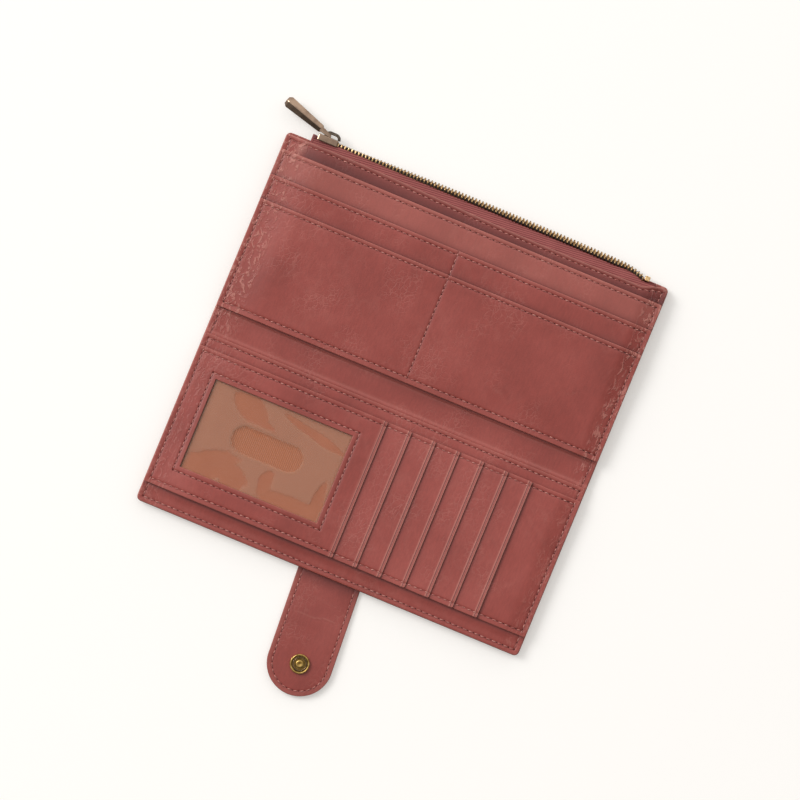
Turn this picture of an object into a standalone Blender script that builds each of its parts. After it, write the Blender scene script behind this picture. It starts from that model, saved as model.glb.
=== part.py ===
"""Continental wallet, lying open with its inside up. Metres, +Z up.

The origin is the middle of the spine's outer face. +X runs along the spine and +Y towards the zip.
The wallet folds on the two long edges of its spine, and the closing tab wraps round the zip.
"""

import bmesh
import bpy
from math import ceil, cos, pi, radians, sin, tan
from mathutils import Matrix, Vector

# Cover, seen from inside: two halves on either side of the spine
cover_width = 0.194
upper_reach = 0.095
lower_reach = 0.092
spine_width = 0.0108
cover_leather = 0.0010
corner_radius = 0.0025
corner_steps = 4
board_thickness = 0.0004
board_inset = 0.0035
lining_thickness = 0.0003
lining_inset = 0.0015
spine_leather = 0.0009

# Gaps: between sewn layers, at a pocket mouth, across a fold and round a moving piece
layer_gap = 0.0002
mouth_gap = 0.0003
fold_gap = 0.00015
running_gap = 0.0003
overrun = 0.001
edge_round_share = 0.3

# Upper half: drops are measured from the top edge
panel_leather = 0.0007
panel_inset = 0.0004
spine_margin = 0.0014
zip_panel_drop = 0.0012
slip_panel_drop = 0.0087
card_strip_drop = 0.0216
card_strip_height = 0.0205
card_panel_drop = 0.0339
slot_fabric = 0.0003
pocket_seam = 0.0017

# Zip: a fine metal chain whose two tapes are folded parallel
tape_thickness = 0.0004
tape_width = 0.0122
tape_left = 0.0118
tape_right_margin = 0.0070
pocket_gap = 0.0026
chain_drop = 0.0036
chain_thickness = 0.0020
chain_head_thickness = 0.0015
chain_left = 0.0190
chain_right_margin = 0.0130
chain_overhang = 0.0002
chain_head_reach = 0.00075
tooth_pitch = 0.00173
tooth_length = 0.00070
core_height = 0.0008
core_width = 0.0006
bow_depth = 0.0011
hook_length = 0.012
hook_depth = 0.0022
stop_length = 0.0023
stop_wall = 0.00015
clip_left = 0.0122
clip_length = 0.0014
clip_height = 0.0016
clip_width = 0.0012

# Slider, its crown and the pull
slider_left = 0.0143
slider_length = 0.0100
slider_nose_width = 0.0068
slider_tail_width = 0.0054
slider_shoulder_share = 0.45
slider_wall = 0.0005
slider_plate = 0.0007
slider_flange = 0.0026
slider_channel = 0.00025
slider_inner_width = 0.0020
diamond_length = 0.0034
diamond_width = 0.0013
crown_left = 0.0166
crown_length = 0.0082
crown_width = 0.0014
crown_strap = 0.0014
crown_window = 0.0016
crown_seat = 0.00015
pull_axis_x = 0.0192
pull_rest_deg = 17.5
pull_length = 0.0262
pull_pin_radius = 0.00055
pull_cheek = 0.0005
pull_slot_length = 0.0046
pull_tongue = 0.0011
pull_root_half = 0.0020
pull_end_half = 0.0028
pull_end_chamfer = 0.0008
pull_edge_round = 0.00025

# Lower half: drops are measured from the spine's lower fold
bill_gap = 0.0006
bill_panel_pinch = 0.0060
group_drop = 0.0079
group_height = 0.0689
group_seam = 0.0008
first_mouth = 0.0959
slot_pitch = 0.0122
slot_count = 6
strip_width = 0.0170
base_tuck = 0.0150
window_left = 0.0136
window_drop = 0.0123
window_margin = 0.0129
window_height = 0.0442
window_corner = 0.0010
window_lap = 0.0040
vinyl_thickness = 0.0003
backing_thickness = 0.0004
backing_right = 0.0040
thumb_length = 0.0375
thumb_height = 0.0145
thumb_drop = 0.0139

# Closing tab, in three stretches, each of an outer and an inner ply
tab_width = 0.0313
tab_tip_margin = 0.0153
tab_centre = 0.0984
tab_lean_deg = 3.4
tab_ply = 0.0008
tab_ply_gap = 0.00015
tab_standoff = 0.0002
tab_tuck = 0.0380
tab_anchor_corner = 0.0040
tab_clearance = 0.0007
tab_end_steps = 18

# Ring snap: cap and socket on the tab, stud and eyelet on the cover
snap_drop = 0.0096
cap_radius = 0.0060
cap_height = 0.0010
cap_edge = 0.0004
post_radius = 0.00135
post_head_radius = 0.00175
post_head_height = 0.0006
post_dimple = 0.0003
socket_radius = 0.0047
socket_well_radius = 0.0033
socket_base = 0.0004
socket_rim = 0.0014
stud_flange_radius = 0.0045
stud_flange = 0.00045
stud_radius = 0.0029
stud_bore_radius = 0.00225
eyelet_radius = 0.0013
eyelet_flange_radius = 0.0038
eyelet_flange = 0.0004
eyelet_flare_radius = 0.0018
eyelet_flare = 0.0003
seat_gap = 0.00015
bore_gap = 0.0003
turned_steps = 28

# Places that several pieces share
half_width = cover_width / 2
chain_right = cover_width - chain_right_margin
fold_y = spine_width / 2
pivot_z = cover_leather + layer_gap + spine_leather
board_z = cover_leather + layer_gap
lining_z = board_z + board_thickness + layer_gap
lining_top = lining_z + lining_thickness
tape_back_z = lining_z
tape_front_z = tape_back_z + tape_thickness + pocket_gap
chain_z = (tape_back_z + tape_front_z + tape_thickness) / 2
chain_half_width = (tape_front_z + tape_thickness - tape_back_z) / 2 + chain_overhang
panel_edge_y = fold_y + spine_margin
pocket_top = tape_front_z + tape_thickness
pocket_bottom = lining_top + layer_gap + lining_thickness
pocket_seam_y = panel_edge_y + pocket_seam
tape_low_y = upper_reach + chain_drop - tape_width


def across(distance):
    """World X of a distance measured from the cover's left edge."""
    return distance - half_width


def zip_rise(x):
    """How far the chain stands off its highest line at world X: a shallow bow, with a tuck at the right."""
    middle = (across(chain_left) + across(chain_right)) / 2
    half = (chain_right - chain_left) / 2
    into_hook = max(0.0, x - (across(chain_right) - hook_length)) / hook_length
    return -bow_depth * ((x - middle) / half) ** 2 - hook_depth * into_hook**2


def chain_y(x):
    """World Y of the middle of the chain's thickness at world X."""
    return upper_reach + chain_drop + zip_rise(x)


# Materials
def finish(name, colour, roughness, metallic=0.0, alpha=1.0):
    """A Principled material with one colour."""
    made = bpy.data.materials.new(name)
    made.use_nodes = True
    shader = made.node_tree.nodes["Principled BSDF"]
    shader.inputs["Base Color"].default_value = (*colour, 1.0)
    shader.inputs["Roughness"].default_value = roughness
    shader.inputs["Metallic"].default_value = metallic
    shader.inputs["Alpha"].default_value = alpha
    return made


def finishes():
    """Every finish of the wallet, by name."""
    return {
        "leather": finish("rose leather", (0.32, 0.08, 0.07), 0.42),
        "fabric": finish("tan lining", (0.36, 0.12, 0.05), 0.85),
        "board": finish("grey board", (0.20, 0.19, 0.18), 0.90),
        "tape": finish("woven tape", (0.24, 0.06, 0.06), 0.80),
        "brass": finish("antique brass", (0.45, 0.31, 0.12), 0.35, 1.0),
        "nickel": finish("antique nickel", (0.30, 0.25, 0.19), 0.30, 1.0),
        "vinyl": finish("clear vinyl", (0.80, 0.78, 0.75), 0.10, 0.0, 0.35),
    }


# Bodies: an empty stands on each joint's axis and carries what turns or slides there
def carrier(name, place, parent=None):
    """An empty at a world place, carried by another one or by the world."""
    empty = bpy.data.objects.new(name, None)
    bpy.context.scene.collection.objects.link(empty)
    empty.parent = parent["empty"] if parent else None
    empty.location = Vector(place) - (parent["place"] if parent else Vector())
    return {"empty": empty, "place": Vector(place)}


def add_piece(name, mesh, material, carried_by):
    """A node whose mesh is written in world places, carried by a body's empty."""
    mesh.materials.append(material)
    piece = bpy.data.objects.new(name, mesh)
    bpy.context.scene.collection.objects.link(piece)
    piece.parent = carried_by["empty"]
    piece.matrix_parent_inverse = Matrix.Translation(-carried_by["place"])
    return piece


def finished_mesh(name, bm, smooth=False):
    """The mesh of a closed bmesh, with its faces turned outwards."""
    bmesh.ops.recalc_face_normals(bm, faces=bm.faces)
    mesh = bpy.data.meshes.new(name)
    bm.to_mesh(mesh)
    bm.free()
    if smooth:
        mesh.shade_smooth()
        mesh.set_sharp_from_angle(angle=radians(40))
    return mesh


def round_edges(piece, width, segments=1, angle_deg=50):
    """A small bevel on every edge sharper than the given angle."""
    bevel = piece.modifiers.new("edge rounding", "BEVEL")
    bevel.width = width
    bevel.segments = segments
    bevel.limit_method = "ANGLE"
    bevel.angle_limit = radians(angle_deg)


def helper(name, mesh):
    """A hidden solid that a Boolean cuts with or adds."""
    made = bpy.data.objects.new(name, mesh)
    bpy.context.scene.collection.objects.link(made)
    made.hide_render = True
    made.display_type = "WIRE"
    return made


def combine(piece, other, operation):
    """Cuts a helper from a piece, or joins it on, with an exact Boolean."""
    boolean = piece.modifiers.new(other.name, "BOOLEAN")
    boolean.operation = operation
    boolean.object = other


# Sheets: leather, board, fabric and tape
def sheet_mesh(name, xs, ys, under, thickness, corner=None):
    """A sheet over a grid of stations, where under gives the place of its lower face.

    The corner is (radius, end), and rounds both corners at the highest Y for end 1 or the lowest for -1.
    """
    bm = bmesh.new()
    low = [[bm.verts.new(under(x, y)) for y in ys] for x in xs]
    rise = Vector((0, 0, thickness))
    high = [[bm.verts.new(vert.co + rise) for vert in row] for row in low]
    last_x, last_y = len(xs) - 1, len(ys) - 1
    for i in range(last_x):
        for j in range(last_y):
            for layer in (low, high):
                bm.faces.new((layer[i][j], layer[i + 1][j], layer[i + 1][j + 1], layer[i][j + 1]))
    for i in range(last_x):
        for j in (0, last_y):
            bm.faces.new((low[i][j], low[i + 1][j], high[i + 1][j], high[i][j]))
    for j in range(last_y):
        for i in (0, last_x):
            bm.faces.new((low[i][j], low[i][j + 1], high[i][j + 1], high[i][j]))
    if corner:
        radius, end = corner
        at = last_y if end > 0 else 0
        bmesh.ops.recalc_face_normals(bm, faces=bm.faces)
        edges = [bm.edges.get((low[i][at], high[i][at])) for i in (0, last_x)]
        bmesh.ops.bevel(bm, geom=edges, offset=radius, segments=corner_steps, profile=0.5, affect="EDGES")
    return finished_mesh(name, bm)


def add_sheet(name, xs, ys, under, thickness, material, carried_by, corner=None):
    """A sheet as a node, with its edges rounded by a share of its thickness."""
    mesh = sheet_mesh(name, xs, ys, under, thickness, corner)
    piece = add_piece(name, mesh, material, carried_by)
    round_edges(piece, thickness * edge_round_share)
    return piece


def level(z):
    """The lower face of a flat sheet."""
    return lambda x, y: (x, y, z)


def sloped(stations):
    """The lower face of a sheet whose height follows (y, z) stations, lowest y first."""

    def under(x, y):
        for (y0, z0), (y1, z1) in zip(stations, stations[1:]):
            if y <= y1:
                break
        along = min(max((y - y0) / (y1 - y0), 0.0), 1.0)
        return (x, y, z0 + (z1 - z0) * along)

    return under


def plate_mesh(name, outline, low, high):
    """A flat plate from an outline of (x, y) points, between two heights."""
    bm = bmesh.new()
    face = bm.faces.new([bm.verts.new((x, y, low)) for x, y in outline])
    made = bmesh.ops.extrude_face_region(bm, geom=[face])["geom"]
    raised = [item for item in made if isinstance(item, bmesh.types.BMVert)]
    bmesh.ops.translate(bm, verts=raised, vec=(0, 0, high - low))
    return finished_mesh(name, bm)


def rounded_box_outline(x0, x1, y0, y1, radius, steps=4):
    """The outline of a rectangle with round corners, anticlockwise."""
    points = []
    centres = ((x1 - radius, y1 - radius), (x0 + radius, y1 - radius))
    centres += ((x0 + radius, y0 + radius), (x1 - radius, y0 + radius))
    for quarter, (cx, cy) in enumerate(centres):
        for step in range(steps + 1):
            angle = (quarter + step / steps) * pi / 2
            points.append((cx + radius * cos(angle), cy + radius * sin(angle)))
    return points


# Turned pieces
def turned_mesh(name, profile, centre):
    """A closed turned solid about +Z: profile is (radius, height) points, outside going up."""
    bm = bmesh.new()
    rings = []
    for radius, height in profile:
        steps = turned_steps if radius > 0 else 1
        ring = []
        for step in range(steps):
            angle = 2 * pi * step / steps
            offset = Vector((radius * cos(angle), radius * sin(angle), height))
            ring.append(bm.verts.new(Vector(centre) + offset))
        rings.append(ring)
    pairs = list(zip(rings, rings[1:]))
    if profile[0][0] > 0:
        pairs.append((rings[-1], rings[0]))
    for below, above in pairs:
        for step in range(turned_steps):
            after = (step + 1) % turned_steps
            if len(below) == 1:
                bm.faces.new((below[0], above[after], above[step]))
            elif len(above) == 1:
                bm.faces.new((below[step], below[after], above[0]))
            else:
                bm.faces.new((below[step], below[after], above[after], above[step]))
    return finished_mesh(name, bm, smooth=True)


def drill(piece, centre, radius, low, high):
    """A round hole through a piece, between two heights and past them."""
    profile = (
        (0, low - overrun),
        (radius, low - overrun),
        (radius, high + overrun),
        (0, high + overrun),
    )
    name = piece.name + " drill"
    combine(piece, helper(name, turned_mesh(name, profile, centre)), "DIFFERENCE")


# Cover: outer leather in three stretches, boards and linings behind it
def make_cover(bodies, looks):
    sides = (across(0), across(cover_width))
    upper_ys = (fold_y + fold_gap, upper_reach)
    lower_ys = (-lower_reach, -fold_y - fold_gap)
    spine_ys = (-fold_y + fold_gap, fold_y - fold_gap)
    round_top, round_low = (corner_radius, 1), (corner_radius, -1)

    cover_upper = add_sheet(
        "cover_upper", sides, upper_ys, level(0), cover_leather,
        looks["leather"], bodies["upper_half"], round_top,
    )
    drill(cover_upper, stud_place(), eyelet_radius + bore_gap, -cover_leather, cover_leather)
    add_sheet("cover_spine", sides, spine_ys, level(0), cover_leather, looks["leather"], bodies["spine"])
    add_sheet(
        "cover_lower", sides, lower_ys, level(0), cover_leather,
        looks["leather"], bodies["lower_half"], round_low,
    )

    board_xs = (sides[0] + board_inset, sides[1] - board_inset)
    board_upper_ys = (upper_ys[0] + spine_margin, upper_reach - board_inset)
    board_upper = add_sheet(
        "stiffener_upper", board_xs, board_upper_ys, level(board_z), board_thickness,
        looks["board"], bodies["upper_half"],
    )
    eyelet_hole = eyelet_flange_radius + bore_gap
    drill(board_upper, stud_place(), eyelet_hole, board_z, board_z + board_thickness)
    board_lower_ys = (board_inset - lower_reach, lower_ys[1] - spine_margin)
    add_sheet(
        "stiffener_lower", board_xs, board_lower_ys, level(board_z), board_thickness,
        looks["board"], bodies["lower_half"],
    )

    lining_xs = (sides[0] + lining_inset, sides[1] - lining_inset)
    spine_xs = (sides[0] + panel_inset, sides[1] - panel_inset)
    add_sheet(
        "spine_lining", spine_xs, spine_ys, level(board_z), spine_leather, looks["leather"], bodies["spine"]
    )
    lining_upper_ys = (upper_ys[0], tape_low_y - layer_gap)
    add_sheet(
        "zip_pocket_back_lining", lining_xs, lining_upper_ys, level(lining_z), lining_thickness,
        looks["fabric"], bodies["upper_half"],
    )
    lining_lower_ys = (lining_inset - lower_reach, lower_ys[1])
    add_sheet(
        "bill_pocket_lining", lining_xs, lining_lower_ys, level(lining_z), lining_thickness,
        looks["fabric"], bodies["lower_half"],
    )


# Zip: tapes, chain and stops
def tape_under(z):
    """The lower face of a tape: its sewn edge is straight and its upper edge follows the chain."""
    top = tape_top_y()

    def under(x, y):
        share = (y - tape_low_y) / (top - tape_low_y)
        return (x, y + zip_rise(x) * share, z)

    return under


def tape_top_y():
    """World Y of the tapes' upper edge where the chain stands highest."""
    return upper_reach + chain_drop - chain_thickness / 2 - running_gap


def make_tapes(bodies, looks):
    left, right = across(tape_left), across(cover_width - tape_right_margin)
    steps = ceil((right - left) / (hook_length / 2))
    xs = [left + (right - left) * step / steps for step in range(steps + 1)]
    ys = (tape_low_y, tape_top_y())
    for name, z in (("zip_tape_back", tape_back_z), ("zip_tape_front", tape_front_z)):
        add_sheet(name, xs, ys, tape_under(z), tape_thickness, looks["tape"], bodies["upper_half"])


def chain_ring(x, row):
    """Corners of the chain's section at X: a tooth of the front or back row, or the bead between."""
    y = chain_y(x)
    if row == 0:
        thin, thick = core_height / 2, core_height / 2
        far, near = core_width / 2, -core_width / 2
    else:
        thin, thick = chain_head_thickness / 2, chain_thickness / 2
        far, near = chain_half_width, -chain_head_reach
    if row < 0:
        far, near, thin, thick = -near, -far, thick, thin
    return (
        (x, y - thick, chain_z + far),
        (x, y + thick, chain_z + far),
        (x, y + thin, chain_z + near),
        (x, y - thin, chain_z + near),
    )


def make_chain(bodies, looks):
    """Both rows of teeth, half a pitch apart and meshed, on the bead that runs through them."""
    bm = bmesh.new()
    start, end = across(chain_left), across(chain_right)
    count = int((end - start) / (tooth_pitch / 2))
    rings = [chain_ring(start, 0)]
    for number in range(count):
        row = 1 if number % 2 == 0 else -1
        first = start + (number + 1) * tooth_pitch / 2 - tooth_length
        for x, kind in ((first, 0), (first, row), (first + tooth_length, row), (first + tooth_length, 0)):
            rings.append(chain_ring(x, kind))
    loops = [[bm.verts.new(corner) for corner in ring] for ring in rings]
    for before, after in zip(loops, loops[1:]):
        for corner in range(4):
            following = (corner + 1) % 4
            bm.faces.new((before[corner], before[following], after[following], after[corner]))
    bm.faces.new(loops[0])
    bm.faces.new(loops[-1])
    mesh = finished_mesh("zip_chain", bm)
    add_piece("zip_chain", mesh, looks["brass"], bodies["upper_half"])


def add_block(name, low, high, edge, material, carried_by):
    """A small stamped block with rounded edges."""
    outline = ((low[0], low[1]), (high[0], low[1]), (high[0], high[1]), (low[0], high[1]))
    piece = add_piece(name, plate_mesh(name, outline, low[2], high[2]), material, carried_by)
    round_edges(piece, edge, segments=2)


def make_stops(bodies, looks):
    """The box that ends the chain, and the two clips that stop the slider at the tapes' other ends."""
    left = across(chain_right) + running_gap
    y = chain_y(across(chain_right))
    half = chain_thickness / 2 + stop_wall
    tall = chain_half_width + stop_wall
    add_block(
        "zip_bottom_stop", (left, y - half, chain_z - tall), (left + stop_length, y + half, chain_z + tall),
        stop_wall, looks["brass"], bodies["upper_half"],
    )
    x = across(clip_left)
    low_y = tape_top_y() + zip_rise(x) + running_gap
    middles = (
        ("zip_top_stop_back", tape_back_z + tape_thickness / 2),
        ("zip_top_stop_front", tape_front_z + tape_thickness / 2),
    )
    for name, middle in middles:
        add_block(
            name, (x, low_y, middle - clip_width / 2),
            (x + clip_length, low_y + clip_height, middle + clip_width / 2), stop_wall,
            looks["brass"], bodies["upper_half"],
        )


# Upper half: zip panel, slip pocket and two rows of card slots
def front_height(y):
    """Height of the zip pocket's front lining at Y: level behind the tape, then falling to the seam."""
    share = min(max((y - pocket_seam_y) / (tape_low_y - pocket_seam_y), 0.0), 1.0)
    return pocket_bottom + (pocket_top - pocket_bottom) * share


def upper_stations(low, high, offset, low_offset=None):
    """Stations of a panel a fixed height over the zip pocket's front, or nearer at its lower edge."""
    low_offset = offset if low_offset is None else low_offset
    ys = sorted({low, min(max(pocket_seam_y, low), high), min(max(tape_low_y, low), high), high})
    shares = [(y - low) / (high - low) for y in ys]
    return [
        (y, front_height(y) + low_offset + (offset - low_offset) * share) for y, share in zip(ys, shares)
    ]


def add_draped(name, xs, low, high, offset, thickness, material, carried_by, low_offset=None):
    """A panel of the upper half, draped over the layers below it."""
    stations = upper_stations(low, high, offset, low_offset)
    ys = [y for y, _ in stations]
    return add_sheet(name, xs, ys, sloped(stations), thickness, material, carried_by)


def make_upper_panels(bodies, looks):
    body, leather = bodies["upper_half"], looks["leather"]
    xs = (across(panel_inset), across(cover_width - panel_inset))
    inner_xs = (across(lining_inset), across(cover_width - lining_inset))
    lining_high = tape_low_y - layer_gap
    add_draped(
        "zip_pocket_front_lining", inner_xs, pocket_seam_y, lining_high, -lining_thickness,
        lining_thickness, looks["fabric"], body,
    )
    zip_offset = layer_gap
    slip_offset = zip_offset + panel_leather + mouth_gap
    strip_offset = slip_offset + panel_leather + mouth_gap
    card_offset = strip_offset + panel_leather + mouth_gap
    card_low_offset = slip_offset + panel_leather + layer_gap + slot_fabric + layer_gap
    strip_low = upper_reach - card_strip_drop - card_strip_height
    add_draped(
        "zip_front_panel", xs, panel_edge_y, upper_reach - zip_panel_drop, zip_offset,
        panel_leather, leather, body,
    )
    add_draped(
        "slip_pocket_panel", xs, panel_edge_y, upper_reach - slip_panel_drop, slip_offset,
        panel_leather, leather, body,
    )
    add_draped(
        "card_slot_strip", xs, strip_low, upper_reach - card_strip_drop, strip_offset,
        panel_leather, leather, body,
    )
    add_draped(
        "card_slot_lining", inner_xs, pocket_seam_y, strip_low - layer_gap,
        slip_offset + panel_leather + layer_gap, slot_fabric, looks["fabric"], body,
    )
    add_draped(
        "card_slot_panel", xs, panel_edge_y, upper_reach - card_panel_drop, card_offset,
        panel_leather, leather, body, card_low_offset,
    )


# Lower half: bill pocket, window pocket and a row of upright card slots
bill_panel_z = lining_top + bill_gap
bill_seam_z = lining_top + layer_gap
slot_lining_z = bill_panel_z + panel_leather + layer_gap
strip_low_z = slot_lining_z + slot_fabric + layer_gap
strip_slope = (panel_leather + layer_gap) / slot_pitch
strip_high_z = strip_low_z + strip_width * strip_slope
frame_z = strip_high_z + panel_leather - slot_pitch * strip_slope + layer_gap
group_top_y = -fold_y - group_drop
group_low_y = group_top_y - group_height
window_top_y = group_top_y - window_drop
window_low_y = window_top_y - window_height


def make_bill_pocket(bodies, looks):
    low = panel_inset - lower_reach
    pinch = -lower_reach + bill_panel_pinch
    seam = group_low_y - spine_margin
    high = -panel_edge_y
    risen = max(seam, pinch + panel_inset)
    stations = [(low, bill_seam_z), (pinch, bill_seam_z), (risen, bill_panel_z), (high, bill_panel_z)]
    xs, ys = (across(panel_inset), across(cover_width - panel_inset)), [y for y, _ in stations]
    add_sheet(
        "bill_pocket_panel", xs, ys, sloped(stations), panel_leather,
        looks["leather"], bodies["lower_half"], (corner_radius, -1),
    )


def make_slots(bodies, looks):
    body, leather = bodies["lower_half"], looks["leather"]
    ys = (group_low_y, group_top_y)
    lining_ys = (group_low_y + group_seam, group_top_y - group_seam)
    last_mouth = first_mouth + slot_count * slot_pitch
    add_sheet(
        "slot_lining", (across(lining_inset), across(cover_width - lining_inset)), lining_ys,
        level(slot_lining_z), slot_fabric, looks["fabric"], body,
    )
    base_left = last_mouth - strip_width + slot_pitch
    add_sheet(
        "slot_base_panel", (across(base_left), across(cover_width - panel_inset)), ys,
        level(strip_low_z), panel_leather, leather, body,
    )
    for number in range(slot_count):
        right = across(first_mouth + (number + 1) * slot_pitch)
        left = right - strip_width

        def under(x, y, left=left):
            return (x, y, strip_low_z + (x - left) * strip_slope)

        add_sheet(f"slot_strip_{number + 1}", (left, right), ys, under, panel_leather, leather, body)


def stadium_outline(cx, cy, length, height, steps=10):
    """An oblong with round ends, anticlockwise."""
    radius, half = height / 2, (length - height) / 2
    points = []
    for side, middle in ((-pi / 2, cx + half), (pi / 2, cx - half)):
        for step in range(steps + 1):
            angle = side + pi * step / steps
            points.append((middle + radius * cos(angle), cy + radius * sin(angle)))
    return points


def make_window_pocket(bodies, looks):
    body = bodies["lower_half"]
    left, right = across(window_left), across(first_mouth - window_margin)
    frame = add_sheet(
        "id_frame", (across(panel_inset), across(first_mouth)), (group_low_y, group_top_y), level(frame_z),
        panel_leather, looks["leather"], body,
    )
    outline = rounded_box_outline(left, right, window_low_y, window_top_y, window_corner)
    cutter = plate_mesh("window cut", outline, frame_z - layer_gap, frame_z + panel_leather + overrun)
    combine(frame, helper("window cut", cutter), "DIFFERENCE")

    vinyl_z = frame_z - layer_gap - vinyl_thickness
    vinyl_xs = (left - window_lap, right + window_lap)
    vinyl_ys = (window_low_y - window_lap, window_top_y + window_lap)
    add_sheet("id_window", vinyl_xs, vinyl_ys, level(vinyl_z), vinyl_thickness, looks["vinyl"], body)

    backing_z = (vinyl_z + slot_lining_z + slot_fabric - backing_thickness) / 2
    backing_xs = (across(lining_inset), right + backing_right)
    backing_ys = (group_low_y + group_seam, group_top_y - group_seam)
    backing = add_sheet(
        "id_backing", backing_xs, backing_ys, level(backing_z), backing_thickness, looks["fabric"], body
    )
    thumb_y = window_top_y - thumb_drop - thumb_height / 2
    thumb = stadium_outline((left + right) / 2, thumb_y, thumb_length, thumb_height)
    thumb_cut = (backing_z - layer_gap, backing_z + backing_thickness + layer_gap)
    cutter = plate_mesh("thumb cut", thumb, *thumb_cut)
    combine(backing, helper("thumb cut", cutter), "DIFFERENCE")


# Tab: where its folds lie follows from the closed wallet
tab_thickness = 2 * tab_ply + tab_ply_gap
tab_inner_z = -tab_standoff
rest_z = tab_inner_z - tab_thickness
stud_tip_z = rest_z
closed_height = 2 * pivot_z + spine_width
chain_front = upper_reach + chain_drop + chain_thickness / 2
snap_stack = -stud_tip_z + tab_standoff + socket_base + seat_gap
tab_drop = closed_height + tab_standoff + snap_stack
tab_root = chain_front + tab_clearance + cap_height - lower_reach
tab_root_y = -lower_reach - tab_root
tab_fold_y = tab_root_y - tab_drop
tab_fold_z = tab_inner_z + cap_height
snap_past_fold = lower_reach + tab_root - cap_height - (upper_reach - snap_drop)
snap_y = tab_fold_y - snap_past_fold
tab_tip_y = snap_y - tab_tip_margin


def tab_x(y):
    """World X of the tab's middle at world Y, which leans a little off square."""
    return across(tab_centre) + (-lower_reach - y) * tan(radians(tab_lean_deg))


def stud_place():
    """Where the stud sits on the cover: the socket meets it once both folds and the tab are closed."""
    return (tab_x(snap_y), upper_reach - snap_drop, 0)


def tab_outline(low, high, round_end=False, anchor=False):
    """A stretch of the tab between two Y values, with a round free end or a round-cornered anchor."""
    half = tab_width / 2
    points = []
    if round_end:
        centre_y = low + half
        for step in range(tab_end_steps + 1):
            angle = pi + pi * step / tab_end_steps
            y = centre_y + half * sin(angle)
            points.append((tab_x(centre_y) + half * cos(angle), y))
    else:
        points += [(tab_x(low) - half, low), (tab_x(low) + half, low)]
    if not anchor:
        return points + [(tab_x(high) + half, high), (tab_x(high) - half, high)]
    for turn, side in ((0, 1), (1, -1)):
        centre = (tab_x(high) + side * (half - tab_anchor_corner), high - tab_anchor_corner)
        for step in range(5):
            angle = (turn + step / 4) * pi / 2
            offset = (tab_anchor_corner * cos(angle), tab_anchor_corner * sin(angle))
            points.append((centre[0] + offset[0], centre[1] + offset[1]))
    return points


def add_ply(name, outline, low, material, carried_by, slope=None):
    """One ply of the tab, flat or rising along the tab from its inner fold."""
    mesh = plate_mesh(name, outline, low, low + tab_ply)
    if slope:
        for vert in mesh.vertices:
            vert.co.z += (tab_root_y - vert.co.y) * slope
    piece = add_piece(name, mesh, material, carried_by)
    round_edges(piece, tab_ply * edge_round_share)
    return piece


def make_tab(bodies, looks):
    leather = looks["leather"]
    slope = cap_height / tab_drop
    root = tab_outline(tab_root_y + fold_gap, tab_tuck - lower_reach, anchor=True)
    bend = tab_outline(tab_fold_y + fold_gap, tab_root_y - fold_gap)
    end = tab_outline(tab_tip_y, tab_fold_y - fold_gap, round_end=True)
    stretches = (
        ("tab_root", root, 0, None, "lower_half"),
        ("tab_bend", bend, 0, slope, "tab_bend"),
        ("tab_end", end, cap_height, None, "tab_end"),
    )
    for name, outline, lift, rise, body in stretches:
        outer_z = rest_z + lift
        inner_z = outer_z + tab_ply + tab_ply_gap
        for ply, low in (("outer", outer_z), ("inner", inner_z)):
            piece = add_ply(f"{name}_{ply}", outline, low, leather, bodies[body], rise)
            if name == "tab_end":
                drill(piece, (tab_x(snap_y), snap_y, 0), post_radius + bore_gap, low, low + tab_ply)


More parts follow.
